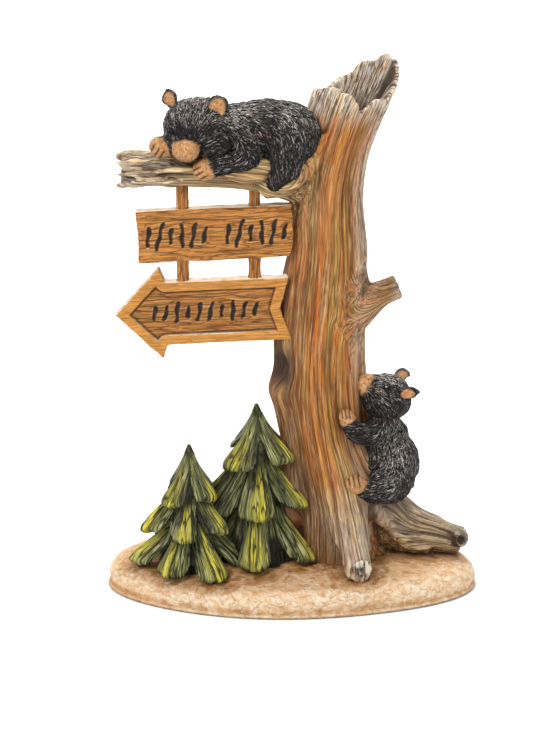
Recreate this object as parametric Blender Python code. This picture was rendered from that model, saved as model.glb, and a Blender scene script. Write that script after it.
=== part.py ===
"""Cast resin figurine: two bear cubs on a hollow tree trunk, with two sign boards and two spruces.

The whole figurine is one casting, so every form here is joined into one closed solid.
X runs to the right and Y away from the front; Z = 0 is the flat underside.
"""

import math

import bmesh
import bpy
import numpy as np
from mathutils import Matrix, Vector

MM = 0.001

# Base
BASE_LENGTH = 181 * MM
BASE_DEPTH = 104 * MM
BASE_HEIGHT = 14 * MM

# Trunk, above the top of the base
TRUNK_HEIGHT = 245 * MM
TRUNK_WIDTH = 41 * MM
TRUNK_DEPTH = 35 * MM
HOLLOW_DEPTH = 26 * MM
HOLLOW_WALL = 6.5 * MM
FLUTE_DEPTH = 1.1 * MM

# Limb that carries the sleeping cub and the boards, at a share of the trunk's height
LIMB_SHARE = 0.789
LIMB_REACH = 98 * MM
LIMB_THICKNESS = 16.6 * MM

# Boards
BOARD_THICKNESS = 8 * MM
PLANK_LENGTH = 74 * MM
PLANK_HEIGHT = 25.5 * MM
ARROW_LENGTH = 83.5 * MM
ARROW_HEIGHT = 31 * MM
ARROW_HEAD_SPREAD = 45 * MM
ARROW_HEAD_LENGTH = 22 * MM
ARROW_TAIL_NOTCH = 5 * MM
FRAME_WIDTH = 4 * MM
PANEL_SINK = 1.1 * MM
POST_WIDTH = 6.2 * MM
UPPER_POST_LENGTH = 9 * MM
LOWER_POST_LENGTH = 9.5 * MM
BOARD_TILT = math.radians(2.6)
BOARD_BITE = 2.2 * MM
POST_PLACES = (0.294, 0.752)

# Rows of shallow strokes on the boards: each row's middle from the board's middle, and its strokes
STROKE_SPACING = 4.9 * MM
STROKE_WIDTH = 1.5 * MM
STROKE_SINK = 0.6 * MM
PLANK_ROWS = ((-17 * MM, 6), (19 * MM, 7))
PLANK_STROKE_HEIGHT = 11 * MM
ARROW_ROWS = ((1 * MM, 10),)
ARROW_STROKE_HEIGHT = 8.5 * MM

# Spruces
TALL_SPRUCE_HEIGHT = 79 * MM
SHORT_SPRUCE_HEIGHT = 61 * MM
BOUGH_THICKNESS = 4.2 * MM

# Cubs
SLEEPING_CUB_LENGTH = 80 * MM
CLIMBING_CUB_HEIGHT = 70 * MM

# How finely the modelled forms are worked before they are joined
CLAY_GRAIN = 1.3 * MM
OVERLAP = 3 * MM
WOOD_FACES = 2600
CUB_FACES = 1050
SPRUCE_FACES = 1000

# The trunk's line: share of the height, centre x and y in trunk widths, width and depth as shares
TRUNK_ROWS = (
    (-0.030, 0.60, 0.10, 1.12, 1.16),
    (0.045, 0.59, 0.09, 1.08, 1.12),
    (0.115, 0.55, 0.10, 1.05, 1.06),
    (0.215, 0.43, 0.10, 1.08, 1.04),
    (0.320, 0.33, 0.10, 1.09, 1.02),
    (0.425, 0.32, 0.10, 1.06, 1.00),
    (0.525, 0.36, 0.10, 1.04, 0.98),
    (0.625, 0.41, 0.10, 0.92, 0.95),
    (0.720, 0.40, 0.10, 0.84, 0.93),
    (0.800, 0.46, 0.09, 0.82, 0.93),
    (0.860, 0.55, 0.07, 0.88, 0.95),
    (0.910, 0.65, 0.05, 0.93, 1.00),
    (0.960, 0.73, 0.04, 0.95, 1.04),
    (1.010, 0.77, 0.04, 0.98, 1.06),
)
# The broken rim: turn in degrees from the right-hand side, and share of the trunk's height
RIM_ROWS = (
    (-180, 0.930),
    (-160, 0.944),
    (-135, 0.954),
    (-112, 0.946),
    (-96, 0.915),
    (-88, 0.870),
    (-80, 0.905),
    (-64, 0.922),
    (-38, 0.928),
    (-22, 0.918),
    (-13, 0.885),
    (-4, 0.925),
    (8, 0.965),
    (26, 0.988),
    (48, 1.000),
    (66, 0.994),
    (86, 0.980),
    (108, 0.958),
    (130, 0.940),
    (155, 0.926),
    (180, 0.930),
)
# Roots, each from inside the trunk: x, y, z and radius in millimetres of the trunk as drawn
ROOTS = (
    (
        (18, 4, 92, 11),
        (22, -1, 70, 13),
        (26, -10, 49, 12.6),
        (28.5, -19, 33, 10.2),
        (30.5, -27, 22, 8.2),
        (31.5, -32, 17.5, 6.8),
    ),
    ((30, 3, 62, 14), (40, 3, 43, 13.5), (54, 4, 29, 11.5), (70, 5, 22.5, 9), (84, 6, 18, 7)),
    ((14, 2, 48, 12), (2, 1, 32, 10), (-12, 2, 20, 7.5), (-24, 4, 14, 5)),
    ((14, 10, 54, 12), (5, 20, 34, 9), (-5, 29, 20, 6.5), (-12, 34, 13, 4.5)),
    ((28, 12, 54, 12), (37, 22, 33, 9), (46, 30, 20, 6.5), (54, 34, 13, 4.5)),
)
STUB = (
    (26, 3, 135, 12.5),
    (35, 2, 141, 9.6),
    (42, 1.5, 145, 7),
    (47.5, 1.5, 147.5, 5.8),
    (50.5, 1.5, 149, 5.2),
)
# How far round from the trunk's left towards its front the knot hole sits
KNOT_TURN = 0.5
# The swelling that carries the limb's front up into the trunk
COLLAR = (
    (-14, -7, 199, 6),
    (-4, -10.5, 203, 7),
    (5, -10.5, 212, 7.4),
    (12, -7.5, 226, 7),
)
# Worn knobs on the limb: middle and radii
KNOBS = (((-15.5, -10.5, 209.5), (9.5, 6.0, 7.2)),)
# The trunk's width and the base's height that the roots, stub and collar are drawn for
DRAWN_WIDTH = 41
DRAWN_BASE = 14
DRAWN_HEIGHT = 245

# Spruce tiers: hem radius and rise as shares of the height, then each bough's turn in degrees
TALL_TIERS = (
    (1.00, 0.72, 0.215, (-108, -30, 40, 108, 176)),
    (0.80, 0.38, 0.310, (-84, -26, 32, 90, 146, -146)),
    (0.56, 0.02, 0.385, (-94, -40, 12, 64, 116, 168, -144)),
)
SHORT_TIERS = (
    (1.00, 0.60, 0.250, (-126, -52, 20, 92, 164)),
    (0.78, 0.32, 0.360, (-98, -38, 22, 82, 142, -158)),
    (0.52, 0.02, 0.500, (-120, -62, -12, 44, 100, 152, -166)),
)


def smooth_rows(rows, count):
    """count rows on a smooth curve through the given rows."""
    rows = np.asarray(rows, float)
    ends = np.vstack([2 * rows[0] - rows[1], rows, 2 * rows[-1] - rows[-2]])
    at = np.linspace(0, len(rows) - 1, count)
    first = np.minimum(at.astype(int), len(rows) - 2)
    t = (at - first)[:, None]
    a, b, c, d = (ends[first + k] for k in range(4))
    cubic = (2 * a - 5 * b + 4 * c - d) * t**2 + (3 * b - a - 3 * c + d) * t**3
    return (2 * b + (c - a) * t + cubic) / 2


def add_rings(bm, rings):
    """A closed skin over rings with equally many points, with a flat cap at each end."""
    loops = [[bm.verts.new(point) for point in ring] for ring in rings]
    for lower, upper in zip(loops, loops[1:]):
        for i, corner in enumerate(lower):
            j = (i + 1) % len(lower)
            bm.faces.new((corner, lower[j], upper[j], upper[i]))
    bm.faces.new(loops[0][::-1])
    bm.faces.new(loops[-1])


def add_tube(bm, rows, sides=16, steps=14):
    """A tube through (x, y, z, radius) rows."""
    rows = smooth_rows(rows, steps)
    middles, radii = rows[:, :3], rows[:, 3]
    along = np.gradient(middles, axis=0)
    side = np.array([0.31, 0.9, -0.3])
    turns = np.linspace(0, 2 * math.pi, sides, endpoint=False)
    rings = []
    for middle, radius, forward in zip(middles, radii, along):
        forward = forward / np.linalg.norm(forward)
        side = side - forward * (side @ forward)
        side = side / np.linalg.norm(side)
        other = np.cross(forward, side)
        ring = np.cos(turns)[:, None] * side + np.sin(turns)[:, None] * other
        rings.append(middle + radius * ring)
    add_rings(bm, rings)


def add_ball(bm, middle, radii, tilt=0.0):
    """An ellipsoid, tilted in degrees about the front-to-back axis."""
    place = Matrix.Translation(Vector(middle)) @ Matrix.Rotation(math.radians(tilt), 4, "Y")
    size = Matrix.Diagonal((*radii, 1))
    bmesh.ops.create_icosphere(bm, subdivisions=3, radius=1, matrix=place @ size)


def solid_from(bm, name):
    """A helper object that holds the closed skins of bm, facing out."""
    bmesh.ops.recalc_face_normals(bm, faces=bm.faces)
    mesh = bpy.data.meshes.new(name)
    bm.to_mesh(mesh)
    bm.free()
    obj = bpy.data.objects.new(name, mesh)
    obj.hide_render = True
    obj.display_type = "WIRE"
    bpy.context.scene.collection.objects.link(obj)
    return obj


def add_modifier(obj, kind, **settings):
    """Adds a modifier with those settings."""
    modifier = obj.modifiers.new(kind.title(), kind)
    for name, value in settings.items():
        setattr(modifier, name, value)
    return modifier


def settle(obj):
    """Replaces the object's mesh with what its modifiers make of it."""
    bpy.context.view_layer.update()
    evaluated = obj.evaluated_get(bpy.context.evaluated_depsgraph_get())
    mesh = bpy.data.meshes.new_from_object(evaluated)
    obj.modifiers.clear()
    obj.data = mesh
    return obj


def keep_outer_skin(mesh):
    """Drops the small closed pockets that overlapping skins leave inside."""
    bm = bmesh.new()
    bm.from_mesh(mesh)
    skins, seen = [], set()
    for start in bm.verts:
        if start in seen:
            continue
        skin, edge = {start}, [start]
        while edge:
            near = {link.other_vert(vert) for vert in edge for link in vert.link_edges}
            edge = list(near - skin)
            skin |= near
        seen |= skin
        skins.append(skin)
    skins.sort(key=len)
    bmesh.ops.delete(bm, geom=[vert for skin in skins[:-1] for vert in skin], context="VERTS")
    bm.to_mesh(mesh)
    bm.free()


def kneaded(obj, faces, rounds):
    """Overlapping skins worked into one smooth form of about that many triangles."""
    add_modifier(obj, "REMESH", mode="VOXEL", voxel_size=CLAY_GRAIN)
    add_modifier(obj, "SMOOTH", factor=0.5, iterations=rounds)
    settle(obj)
    keep_outer_skin(obj.data)
    triangles = sum(len(face.vertices) - 2 for face in obj.data.polygons)
    add_modifier(obj, "DECIMATE", ratio=min(1.0, faces / triangles))
    return settle(obj)


def joined(whole, pieces):
    """Joins overlapping solids onto the first one, which stays one closed body.

    The exact solver drops whole forms where the spruces meet the roots, so the manifold one joins.
    """
    for piece in pieces:
        add_modifier(whole, "BOOLEAN", operation="UNION", object=piece, solver="MANIFOLD")
    settle(whole)
    keep_outer_skin(whole.data)
    for piece in pieces:
        bpy.data.objects.remove(piece)
    return whole


def base():
    """The sandy mound: an uneven oval with a flat underside and a rounded rim."""
    rows = smooth_rows(
        (
            (0.965, 0.00),
            (0.988, 0.16),
            (1.000, 0.42),
            (0.988, 0.68),
            (0.950, 0.86),
            (0.860, 0.97),
            (0.500, 1.06),
            (0.080, 1.10),
        ),
        10,
    )
    turns = np.linspace(0, 2 * math.pi, 40, endpoint=False)
    uneven = 1 + 0.012 * np.cos(3 * turns + 0.6) + 0.010 * np.cos(5 * turns + 2.1)
    uneven = uneven / np.abs(uneven * np.cos(turns)).max()
    rings = []
    for share, rise in rows:
        x = BASE_LENGTH / 2 * share * uneven * np.cos(turns)
        y = BASE_DEPTH / 2 * share * uneven * np.sin(turns)
        swell = 0.05 * np.sin(3 * turns + 5 * share) * max(rise, 0.0)
        rings.append(np.stack([x, y, BASE_HEIGHT * (rise + swell)], axis=1))
    bm = bmesh.new()
    add_rings(bm, rings)
    return solid_from(bm, "base")


def trunk_line(share):
    """Centre x and y, half width and half depth of the trunk at shares of its height."""
    rows = smooth_rows(TRUNK_ROWS, 200)
    x, y, wide, deep = (np.interp(share, rows[:, 0], rows[:, k]) for k in range(1, 5))
    return x * TRUNK_WIDTH, y * TRUNK_WIDTH, wide * TRUNK_WIDTH / 2, deep * TRUNK_DEPTH / 2


def bell(value, middle, width):
    """One at the middle, falling smoothly to nothing over about two widths."""
    return np.exp(-(((value - middle) / width) ** 2))


def trunk_swell(turns, share):
    """Long flutes, and the knot hole low on the left side, added to the radius."""
    twist = 2.2 * share
    flutes = 0.5 * np.sin(5 * turns + 1.0 + twist) + 0.55 * np.sin(8 * turns + 2.6 - 1.6 * twist)
    flutes = flutes + 0.45 * np.sin(13 * turns + 0.4 + 3.1 * twist)
    left = np.abs(np.mod(turns, 2 * math.pi) - math.pi - KNOT_TURN)
    lip = 3.4 * bell(left, 0, 0.55) * bell(share, 0.345, 0.028)
    hole = -6.5 * bell(left, 0, 0.30) * bell(share, 0.392, 0.028)
    return FLUTE_DEPTH * flutes + (lip + hole) * TRUNK_WIDTH / DRAWN_WIDTH


def add_trunk(bm):
    """The trunk with its broken rim, and the hollow that opens at its top."""
    sides, wall_rows, hollow_rows = 60, 64, 12
    turns = np.linspace(-math.pi, math.pi, sides, endpoint=False)
    degrees, rises = zip(*RIM_ROWS)
    rim = np.interp(np.degrees(turns), degrees, rises)
    foot = TRUNK_ROWS[0][0]
    rings = []
    for step in np.linspace(0, 1, wall_rows):
        share = foot + (rim - foot) * step
        x, y, wide, deep = trunk_line(share)
        swell = trunk_swell(turns, share)
        rings.append((x, y, wide + swell, deep + swell, share))
    floor = rim.min() - HOLLOW_DEPTH / TRUNK_HEIGHT
    for step in np.linspace(0, 1, hollow_rows):
        share = rim + (floor - rim) * step
        x, y, wide, deep = trunk_line(share)
        keep = math.sqrt(max(1 - step**3, 0.02))
        rings.append((x, y, (wide - HOLLOW_WALL) * keep, (deep - HOLLOW_WALL) * keep, share))
    placed = []
    for x, y, wide, deep, share in rings:
        z = BASE_HEIGHT + TRUNK_HEIGHT * share
        placed.append(np.stack([x + wide * np.cos(turns), y + deep * np.sin(turns), z], axis=1))
    add_rings(bm, placed)


def limb_rows():
    """The limb's middle line and radius, from inside the trunk to its cut end on the left."""
    x, y, _, _ = trunk_line(LIMB_SHARE)
    radius = LIMB_THICKNESS / 2
    rows = (
        (0.00, 4.0, -14.0, 1.75),
        (0.17, -3.5, -6.5, 1.30),
        (0.38, -8.0, -2.4, 1.02),
        (0.62, -8.0, -0.4, 0.98),
        (0.84, -8.0, 0.0, 1.00),
        (1.00, -8.0, 0.4, 0.96),
    )
    height = BASE_HEIGHT + LIMB_SHARE * TRUNK_HEIGHT
    return [
        (x - LIMB_REACH * out, y + side * MM, height + rise * MM, radius * girth)
        for out, side, rise, girth in rows
    ]


def limb_at(x):
    """The limb's middle and radius over that x."""
    rows = smooth_rows(limb_rows(), 60)[::-1]
    return [float(np.interp(x, rows[:, 0], rows[:, k])) for k in (1, 2, 3)]


def wood():
    """Trunk, limb, roots and the broken stub, which flow into each other."""
    bm = bmesh.new()
    add_trunk(bm)
    add_tube(bm, limb_rows(), sides=20, steps=20)
    for rows in (*ROOTS, STUB, COLLAR):
        sized = np.asarray(rows, float) * TRUNK_WIDTH / DRAWN_WIDTH
        rise = (np.asarray(rows, float)[:, 2] - DRAWN_BASE) / DRAWN_HEIGHT
        sized[:, 2] = BASE_HEIGHT + rise * TRUNK_HEIGHT
        add_tube(bm, sized)
    drawn = TRUNK_WIDTH / DRAWN_WIDTH
    for (x, y, z), radii in KNOBS:
        height = BASE_HEIGHT + (z - DRAWN_BASE) / DRAWN_HEIGHT * TRUNK_HEIGHT
        add_ball(bm, (x * drawn, y * drawn, height), [radius * drawn for radius in radii])
    return kneaded(solid_from(bm, "wood"), WOOD_FACES, 5)


def cub(name, middle, unit, balls, limbs, rounds=3):
    """A cub from ellipsoids and limbs, given in units from its middle."""
    bm = bmesh.new()
    for x, y, z, wide, deep, high, tilt in balls:
        add_ball(bm, Vector(middle) + unit * Vector((x, y, z)), unit * Vector((wide, deep, high)), tilt)
    for rows in limbs:
        rows = np.asarray(rows, float) * unit
        rows[:, :3] += middle
        add_tube(bm, rows, sides=14, steps=12)
        for end in (rows[0], rows[-1]):
            add_ball(bm, end[:3], (end[3],) * 3)
    return kneaded(solid_from(bm, name), CUB_FACES, rounds)


def sleeping_cub():
    """Lies along the limb with its chin and forepaws on it and its head to the left."""
    unit = SLEEPING_CUB_LENGTH / 80
    x = limb_rows()[0][0] - 0.43 * LIMB_REACH
    y, z, _ = limb_at(x)
    balls = (
        (-19.5, -4.5, 23.0, 16.8, 14.0, 13.8, 0),
        (-27.5, -9.5, 17.5, 8.4, 8.5, 8.8, 0),
        (-12.5, -10.0, 17.0, 8.8, 8.5, 8.8, 0),
        (-25.3, -17.4, 14.6, 7.0, 7.0, 6.1, 0),
        (-33.0, -4.0, 36.0, 3.6, 2.8, 4.4, -14),
        (-11.0, -7.4, 32.0, 4.7, 3.0, 5.3, 16),
        (-5.0, -1.0, 20.5, 13.0, 12.0, 12.5, 0),
        (11.0, 0.5, 19.0, 27.0, 14.0, 16.0, -3),
        (1.0, -7.5, 16.0, 10.0, 8.0, 11.0, 0),
        (24.0, -7.0, 18.0, 13.5, 10.0, 15.0, 12),
        (24.0, 8.0, 17.0, 13.5, 9.0, 14.0, 12),
    )
    limbs = (
        ((3, -10, 14, 6.8), (3.2, -13.2, 9.6, 5.6), (-5.5, -14.2, 7.4, 4.6), (-16.6, -13.8, 5.8, 5.3)),
        ((-24, -2, 17.5, 6.5), (-31.5, -6, 15, 5.4), (-36.6, -8.4, 13.4, 5.1)),
        ((22, -9, 14, 10), (20.5, -12.5, 6, 8), (18, -12, 1.5, 6), (16, -11.4, -2, 4.4)),
        ((0, 8, 13, 7), (-2, 11, 5, 6), (-8, 10.5, 2, 5.2), (-14, 9, 3, 4.8)),
        ((22, 9, 14, 8.5), (20, 12, 4, 6.8), (21, 10.5, -4, 5), (23, 9.5, -8, 3.8)),
    )
    return cub("sleeping_cub", (x, y, z), unit, balls, limbs)


def climbing_cub():
    """Clings to the right of the trunk above the right root, with its snout up."""
    unit = CLIMBING_CUB_HEIGHT / 70
    share = 0.225
    x, y, wide, _ = trunk_line(share)
    middle = (float(x + wide) + 9.5 * unit, float(y) - 4.5 * unit, BASE_HEIGHT + share * TRUNK_HEIGHT)
    balls = (
        (0.9, 1.0, -10.0, 13.6, 12.6, 16.8, 8),
        (-3.6, 1.0, 5.0, 11.2, 10.6, 11.5, 0),
        (-3.2, -1.5, 24.6, 11.4, 11.2, 11.4, -20),
        (-9.4, -1.5, 29.2, 7.0, 6.6, 6.6, -32),
        (-12.8, -1.6, 31.2, 5.0, 4.8, 4.8, -32),
        (4.4, 4.0, 34.2, 3.7, 2.8, 3.1, 20),
        (6.4, -8.0, 29.0, 4.5, 3.0, 3.1, 0),
        (-1.5, -7.5, -17.0, 11.5, 7.5, 9.5, -12),
        (-1.5, 9.5, -17.0, 11.5, 7.5, 9.5, -12),
        (10.8, 2.0, -22.6, 3.2, 2.8, 2.6, 0),
    )
    limbs = (
        ((-3, -7, 13, 6.4), (-12, -11, 10, 5.6), (-19.4, -14, 13.2, 4.7), (-22.8, -15.2, 20.4, 4.1)),
        ((-3, 9, 13, 6.4), (-12, 13, 9.5, 5.6), (-18.5, 15.4, 12.4, 4.9), (-22, 15.6, 20.4, 4.1)),
        ((-2, -8.5, -17, 8), (-8, -13, -19.5, 6.4), (-15, -16, -17.6, 5.2), (-18.6, -17.2, -12.8, 4.8)),
        ((-2, 10.5, -17, 8), (-8, 14, -20.5, 6.4), (-13.5, 15.4, -18, 5.2), (-17, 15.6, -13.4, 4.7)),
    )
    return cub("climbing_cub", middle, unit, balls, limbs)


def board(name, outline, thickness, panel=None):
    """A board from its outline in (x, z), square to Y about y = 0, with a sunk panel."""
    bm = bmesh.new()
    front = [bm.verts.new((x, -thickness / 2, z)) for x, z in outline]
    face = bm.faces.new(front)
    body = bmesh.ops.extrude_face_region(bm, geom=[face])
    back = [item for item in body["geom"] if isinstance(item, bmesh.types.BMVert)]
    bmesh.ops.translate(bm, verts=back, vec=(0, thickness, 0))
    bmesh.ops.recalc_face_normals(bm, faces=bm.faces)
    if panel:
        faces = [f for f in bm.faces if f.calc_center_median().y < -thickness / 2 + 1e-6]
        bmesh.ops.inset_region(bm, faces=faces, thickness=panel[0], use_even_offset=True)
        bmesh.ops.inset_region(bm, faces=faces, thickness=0.4 * panel[1], use_even_offset=True)
        inner = {v for f in faces for v in f.verts}
        bmesh.ops.translate(bm, verts=list(inner), vec=(0, panel[1], 0))
    return solid_from(bm, name)


def strokes(rows, height, front):
    """Cutters for rows of slanting strokes in a board's front face, which are no letters."""
    bm = bmesh.new()
    for middle, count in rows:
        for k in range(count):
            x = middle + (k - (count - 1) / 2) * STROKE_SPACING
            tall = height * (1 + 0.28 * math.sin(2.3 * k + count)) / 2
            lean = (0.16 + 0.13 * math.sin(1.7 * k)) * tall
            half = STROKE_WIDTH / 2
            corners = ((x - half - lean, -tall), (x + half - lean, -tall))
            corners += ((x + half + lean, tall), (x - half + lean, tall))
            depths = (front - OVERLAP, front + STROKE_SINK)
            add_rings(bm, [[(cx, y, cz) for cx, cz in corners] for y in depths])
    return solid_from(bm, "strokes")


def cut(obj, cutter):
    """Takes the cutter out of the object."""
    add_modifier(obj, "BOOLEAN", operation="DIFFERENCE", object=cutter, solver="EXACT")
    settle(obj)
    bpy.data.objects.remove(cutter)


def place_board(obj, x, y, z):
    """Tilts the board like its limb and puts its middle there."""
    obj.data.transform(Matrix.Translation((x, y, z)) @ Matrix.Rotation(-BOARD_TILT, 4, "Y"))
    return obj


def boards():
    """The plank and the arrow that hang below the limb on two pairs of posts."""
    right_x = float(trunk_line(0.66)[0] - trunk_line(0.66)[2]) + BOARD_BITE
    middle_x = right_x - PLANK_LENGTH / 2
    limb_y, limb_z, limb_radius = limb_at(middle_x)
    plank_z = limb_z - limb_radius - UPPER_POST_LENGTH - PLANK_HEIGHT / 2
    half, tall = PLANK_LENGTH / 2, PLANK_HEIGHT / 2
    plank = board(
        "plank",
        (
            (-half, -tall),
            (0, -1.02 * tall),
            (0.94 * half, -0.98 * tall),
            (half, -0.42 * tall),
            (half, tall),
            (0.10 * half, 1.02 * tall),
            (-half, tall),
            (-0.985 * half, 0.1 * tall),
        ),
        BOARD_THICKNESS,
    )
    cut(plank, strokes(PLANK_ROWS, PLANK_STROKE_HEIGHT, -BOARD_THICKNESS / 2))
    arrow_z = plank_z - PLANK_HEIGHT / 2 - LOWER_POST_LENGTH - ARROW_HEIGHT / 2
    half, tall = ARROW_LENGTH / 2, ARROW_HEIGHT / 2
    barb = half - ARROW_HEAD_LENGTH
    arrow = board(
        "arrow",
        (
            (-half, 0),
            (-barb, -ARROW_HEAD_SPREAD / 2),
            (-barb + 2.2 * MM, -tall),
            (half, -tall),
            (half - ARROW_TAIL_NOTCH, 0),
            (half, tall),
            (-barb + 2.6 * MM, tall),
            (-barb, ARROW_HEAD_SPREAD / 2),
        ),
        BOARD_THICKNESS,
        (FRAME_WIDTH, PANEL_SINK),
    )
    cut(arrow, strokes(ARROW_ROWS, ARROW_STROKE_HEIGHT, PANEL_SINK - BOARD_THICKNESS / 2))
    place_board(plank, middle_x, limb_y, plank_z)
    place_board(arrow, right_x - 0.5 * BOARD_BITE - ARROW_LENGTH / 2, limb_y, arrow_z)
    posts = []
    for share in POST_PLACES:
        x = right_x - PLANK_LENGTH * (1 - share)
        _, top, _ = limb_at(x)
        plank_mid = plank_z + (x - middle_x) * math.tan(BOARD_TILT)
        plank_half = PLANK_HEIGHT / 2 - OVERLAP
        arrow_top = plank_mid - PLANK_HEIGHT / 2 - LOWER_POST_LENGTH
        upper = (top, plank_mid + plank_half)
        lower = (plank_mid - plank_half, arrow_top - OVERLAP)
        for ends in (upper, lower):
            bm = bmesh.new()
            add_tube(bm, [(x, limb_y, z, POST_WIDTH / 2) for z in ends], sides=12, steps=3)
            posts.append(solid_from(bm, "post"))
    return [plank, arrow, *posts]


def bough_rings(reach, drop, spread, thickness):
    """A drooping, ridged bough as rings from its root at the stem to its tip, pointing to +X."""
    lean = Vector((drop, 0, reach)).normalized()
    section = ((-1, -0.62), (-0.5, 0.1), (0, 0.5), (0.5, 0.1), (1, -0.62), (0, -0.5))
    shape = ((0.02, 0.2, 1.0), (0.34, 0.52, 1.4), (0.64, 0.78, 1.6), (0.86, 0.64, 1.4), (1.04, 0.16, 0.6))
    rings = []
    for out, wide, thick in shape:
        z = -drop * (out + 0.05 * math.sin(math.pi * out))
        w, t = spread * wide, thickness * thick
        rings.append([Vector((reach * out, side * w, z)) + lean * (t * lift) for side, lift in section])
    return rings


def spruce(name, x, y, height, tiers):
    """A stem inside tiers of drooping boughs."""
    bm = bmesh.new()
    foot = BASE_HEIGHT - OVERLAP
    top = BASE_HEIGHT + height
    core = [(x, y, foot, 0.26 * height), (x, y, foot + 0.45 * height, 0.14 * height)]
    add_tube(bm, [*core, (x, y, top - 0.02 * height, 0.02 * height)], 12, 8)
    for start, hem, radius, turns in tiers:
        reach, drop = radius * height, (start - hem) * height
        spread = math.pi * reach / len(turns)
        for k, turn in enumerate(turns):
            vary = 1 + 0.06 * math.sin(2.4 * k + 9 * radius)
            place = Matrix.Translation((x, y, BASE_HEIGHT + start * height))
            place = place @ Matrix.Rotation(math.radians(turn), 4, "Z")
            rings = bough_rings(reach * vary, drop * vary, spread, BOUGH_THICKNESS)
            add_rings(bm, [[place @ point for point in ring] for ring in rings])
    return kneaded(solid_from(bm, name), SPRUCE_FACES, 2)


def spruces():
    """Both spruces, on the front left of the base."""
    return [
        spruce(
            "tall_spruce",
            -0.093 * BASE_LENGTH,
            -0.02 * BASE_DEPTH,
            TALL_SPRUCE_HEIGHT,
            TALL_TIERS,
        ),
        spruce(
            "short_spruce",
            -0.272 * BASE_LENGTH,
            -0.12 * BASE_DEPTH,
            SHORT_SPRUCE_HEIGHT,
            SHORT_TIERS,
        ),
    ]


def resin():
    """Painted polyresin: a warm brown over all, with a low sheen."""
    material = bpy.data.materials.new("painted_resin")
    material.use_nodes = True
    shader = material.node_tree.nodes["Principled BSDF"]
    shader.inputs["Base Color"].default_value = (0.40, 0.22, 0.10, 1)
    shader.inputs["Roughness"].default_value = 0.55
    shader.inputs["Metallic"].default_value = 0.0
    return material


def main():
    for obj in list(bpy.data.objects):
        bpy.data.objects.remove(obj)
    whole = joined(base(), [wood(), *boards(), *spruces(), sleeping_cub(), climbing_cub()])
    whole.name = "cub_tree_figurine"
    whole.hide_render = False
    whole.display_type = "TEXTURED"
    whole.data.shade_smooth()
    whole.data.set_sharp_from_angle(angle=math.radians(38))
    whole.data.materials.clear()
    whole.data.materials.append(resin())


main()
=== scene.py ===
"""Looks of the cub tree figurine: a cast, hand-painted resin piece on its oval base."""
import math
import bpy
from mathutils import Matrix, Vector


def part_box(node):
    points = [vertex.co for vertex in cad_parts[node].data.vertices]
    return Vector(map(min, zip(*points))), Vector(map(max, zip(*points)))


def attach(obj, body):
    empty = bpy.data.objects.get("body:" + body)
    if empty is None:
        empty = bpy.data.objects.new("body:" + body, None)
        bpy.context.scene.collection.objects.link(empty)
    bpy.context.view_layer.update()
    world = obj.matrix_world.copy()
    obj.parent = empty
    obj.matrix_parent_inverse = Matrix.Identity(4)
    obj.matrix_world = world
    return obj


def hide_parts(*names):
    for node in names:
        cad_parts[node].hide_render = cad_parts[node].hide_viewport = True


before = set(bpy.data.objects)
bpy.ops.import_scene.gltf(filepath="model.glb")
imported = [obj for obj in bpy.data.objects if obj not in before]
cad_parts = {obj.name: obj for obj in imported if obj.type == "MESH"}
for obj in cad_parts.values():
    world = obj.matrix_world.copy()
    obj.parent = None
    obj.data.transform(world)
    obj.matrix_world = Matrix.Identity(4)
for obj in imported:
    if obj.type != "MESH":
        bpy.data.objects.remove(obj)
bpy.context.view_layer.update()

from types import SimpleNamespace

import bmesh
import bpy
import numpy as np
from bpy.props import FloatProperty, FloatVectorProperty, PointerProperty
from bpy.types import Operator, Panel, PropertyGroup
from mathutils import Matrix, Vector
from mathutils.kdtree import KDTree

bl_info = {
    "name": "Cub tree figurine",
    "version": (1, 0, 0),
    "blender": (4, 5, 0),
    "location": "3D View > Sidebar > Figurine",
    "description": "Models and paints the cast resin figurine of two cubs on a hollow tree",
    "category": "Add Mesh",
}

MM = 0.001
NODE = "cub_tree_figurine"
LOW, HIGH = (np.array(corner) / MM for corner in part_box(NODE))

# The trunk's line: share of the height, centre x and y in trunk widths, width and depth as shares
TRUNK_ROWS = (
    (-0.030, 0.60, 0.10, 1.12, 1.16), (0.045, 0.59, 0.09, 1.08, 1.12), (0.115, 0.55, 0.10, 1.05, 1.06),
    (0.215, 0.43, 0.10, 1.08, 1.04), (0.320, 0.33, 0.10, 1.09, 1.02), (0.425, 0.32, 0.10, 1.06, 1.00),
    (0.525, 0.36, 0.10, 1.04, 0.98), (0.625, 0.41, 0.10, 0.92, 0.95), (0.720, 0.40, 0.10, 0.84, 0.93),
    (0.800, 0.46, 0.09, 0.82, 0.93), (0.860, 0.55, 0.07, 0.88, 0.95), (0.910, 0.65, 0.05, 0.93, 1.00),
    (0.960, 0.75, 0.04, 0.98, 1.04), (1.010, 0.80, 0.04, 1.03, 1.06),
)
# The broken rim: turn in degrees from the right-hand side, and share of the trunk's height
RIM_ROWS = (
    (-180, 0.930), (-160, 0.944), (-135, 0.954), (-112, 0.946), (-92, 0.938), (-79, 0.922),
    (-72, 0.896), (-66, 0.918), (-52, 0.930), (-36, 0.932), (-22, 0.918), (-13, 0.885), (-4, 0.925),
    (8, 0.965), (26, 0.988), (48, 1.000), (66, 0.994), (86, 0.980), (108, 0.958), (130, 0.940),
    (155, 0.926), (180, 0.930),
)
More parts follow.
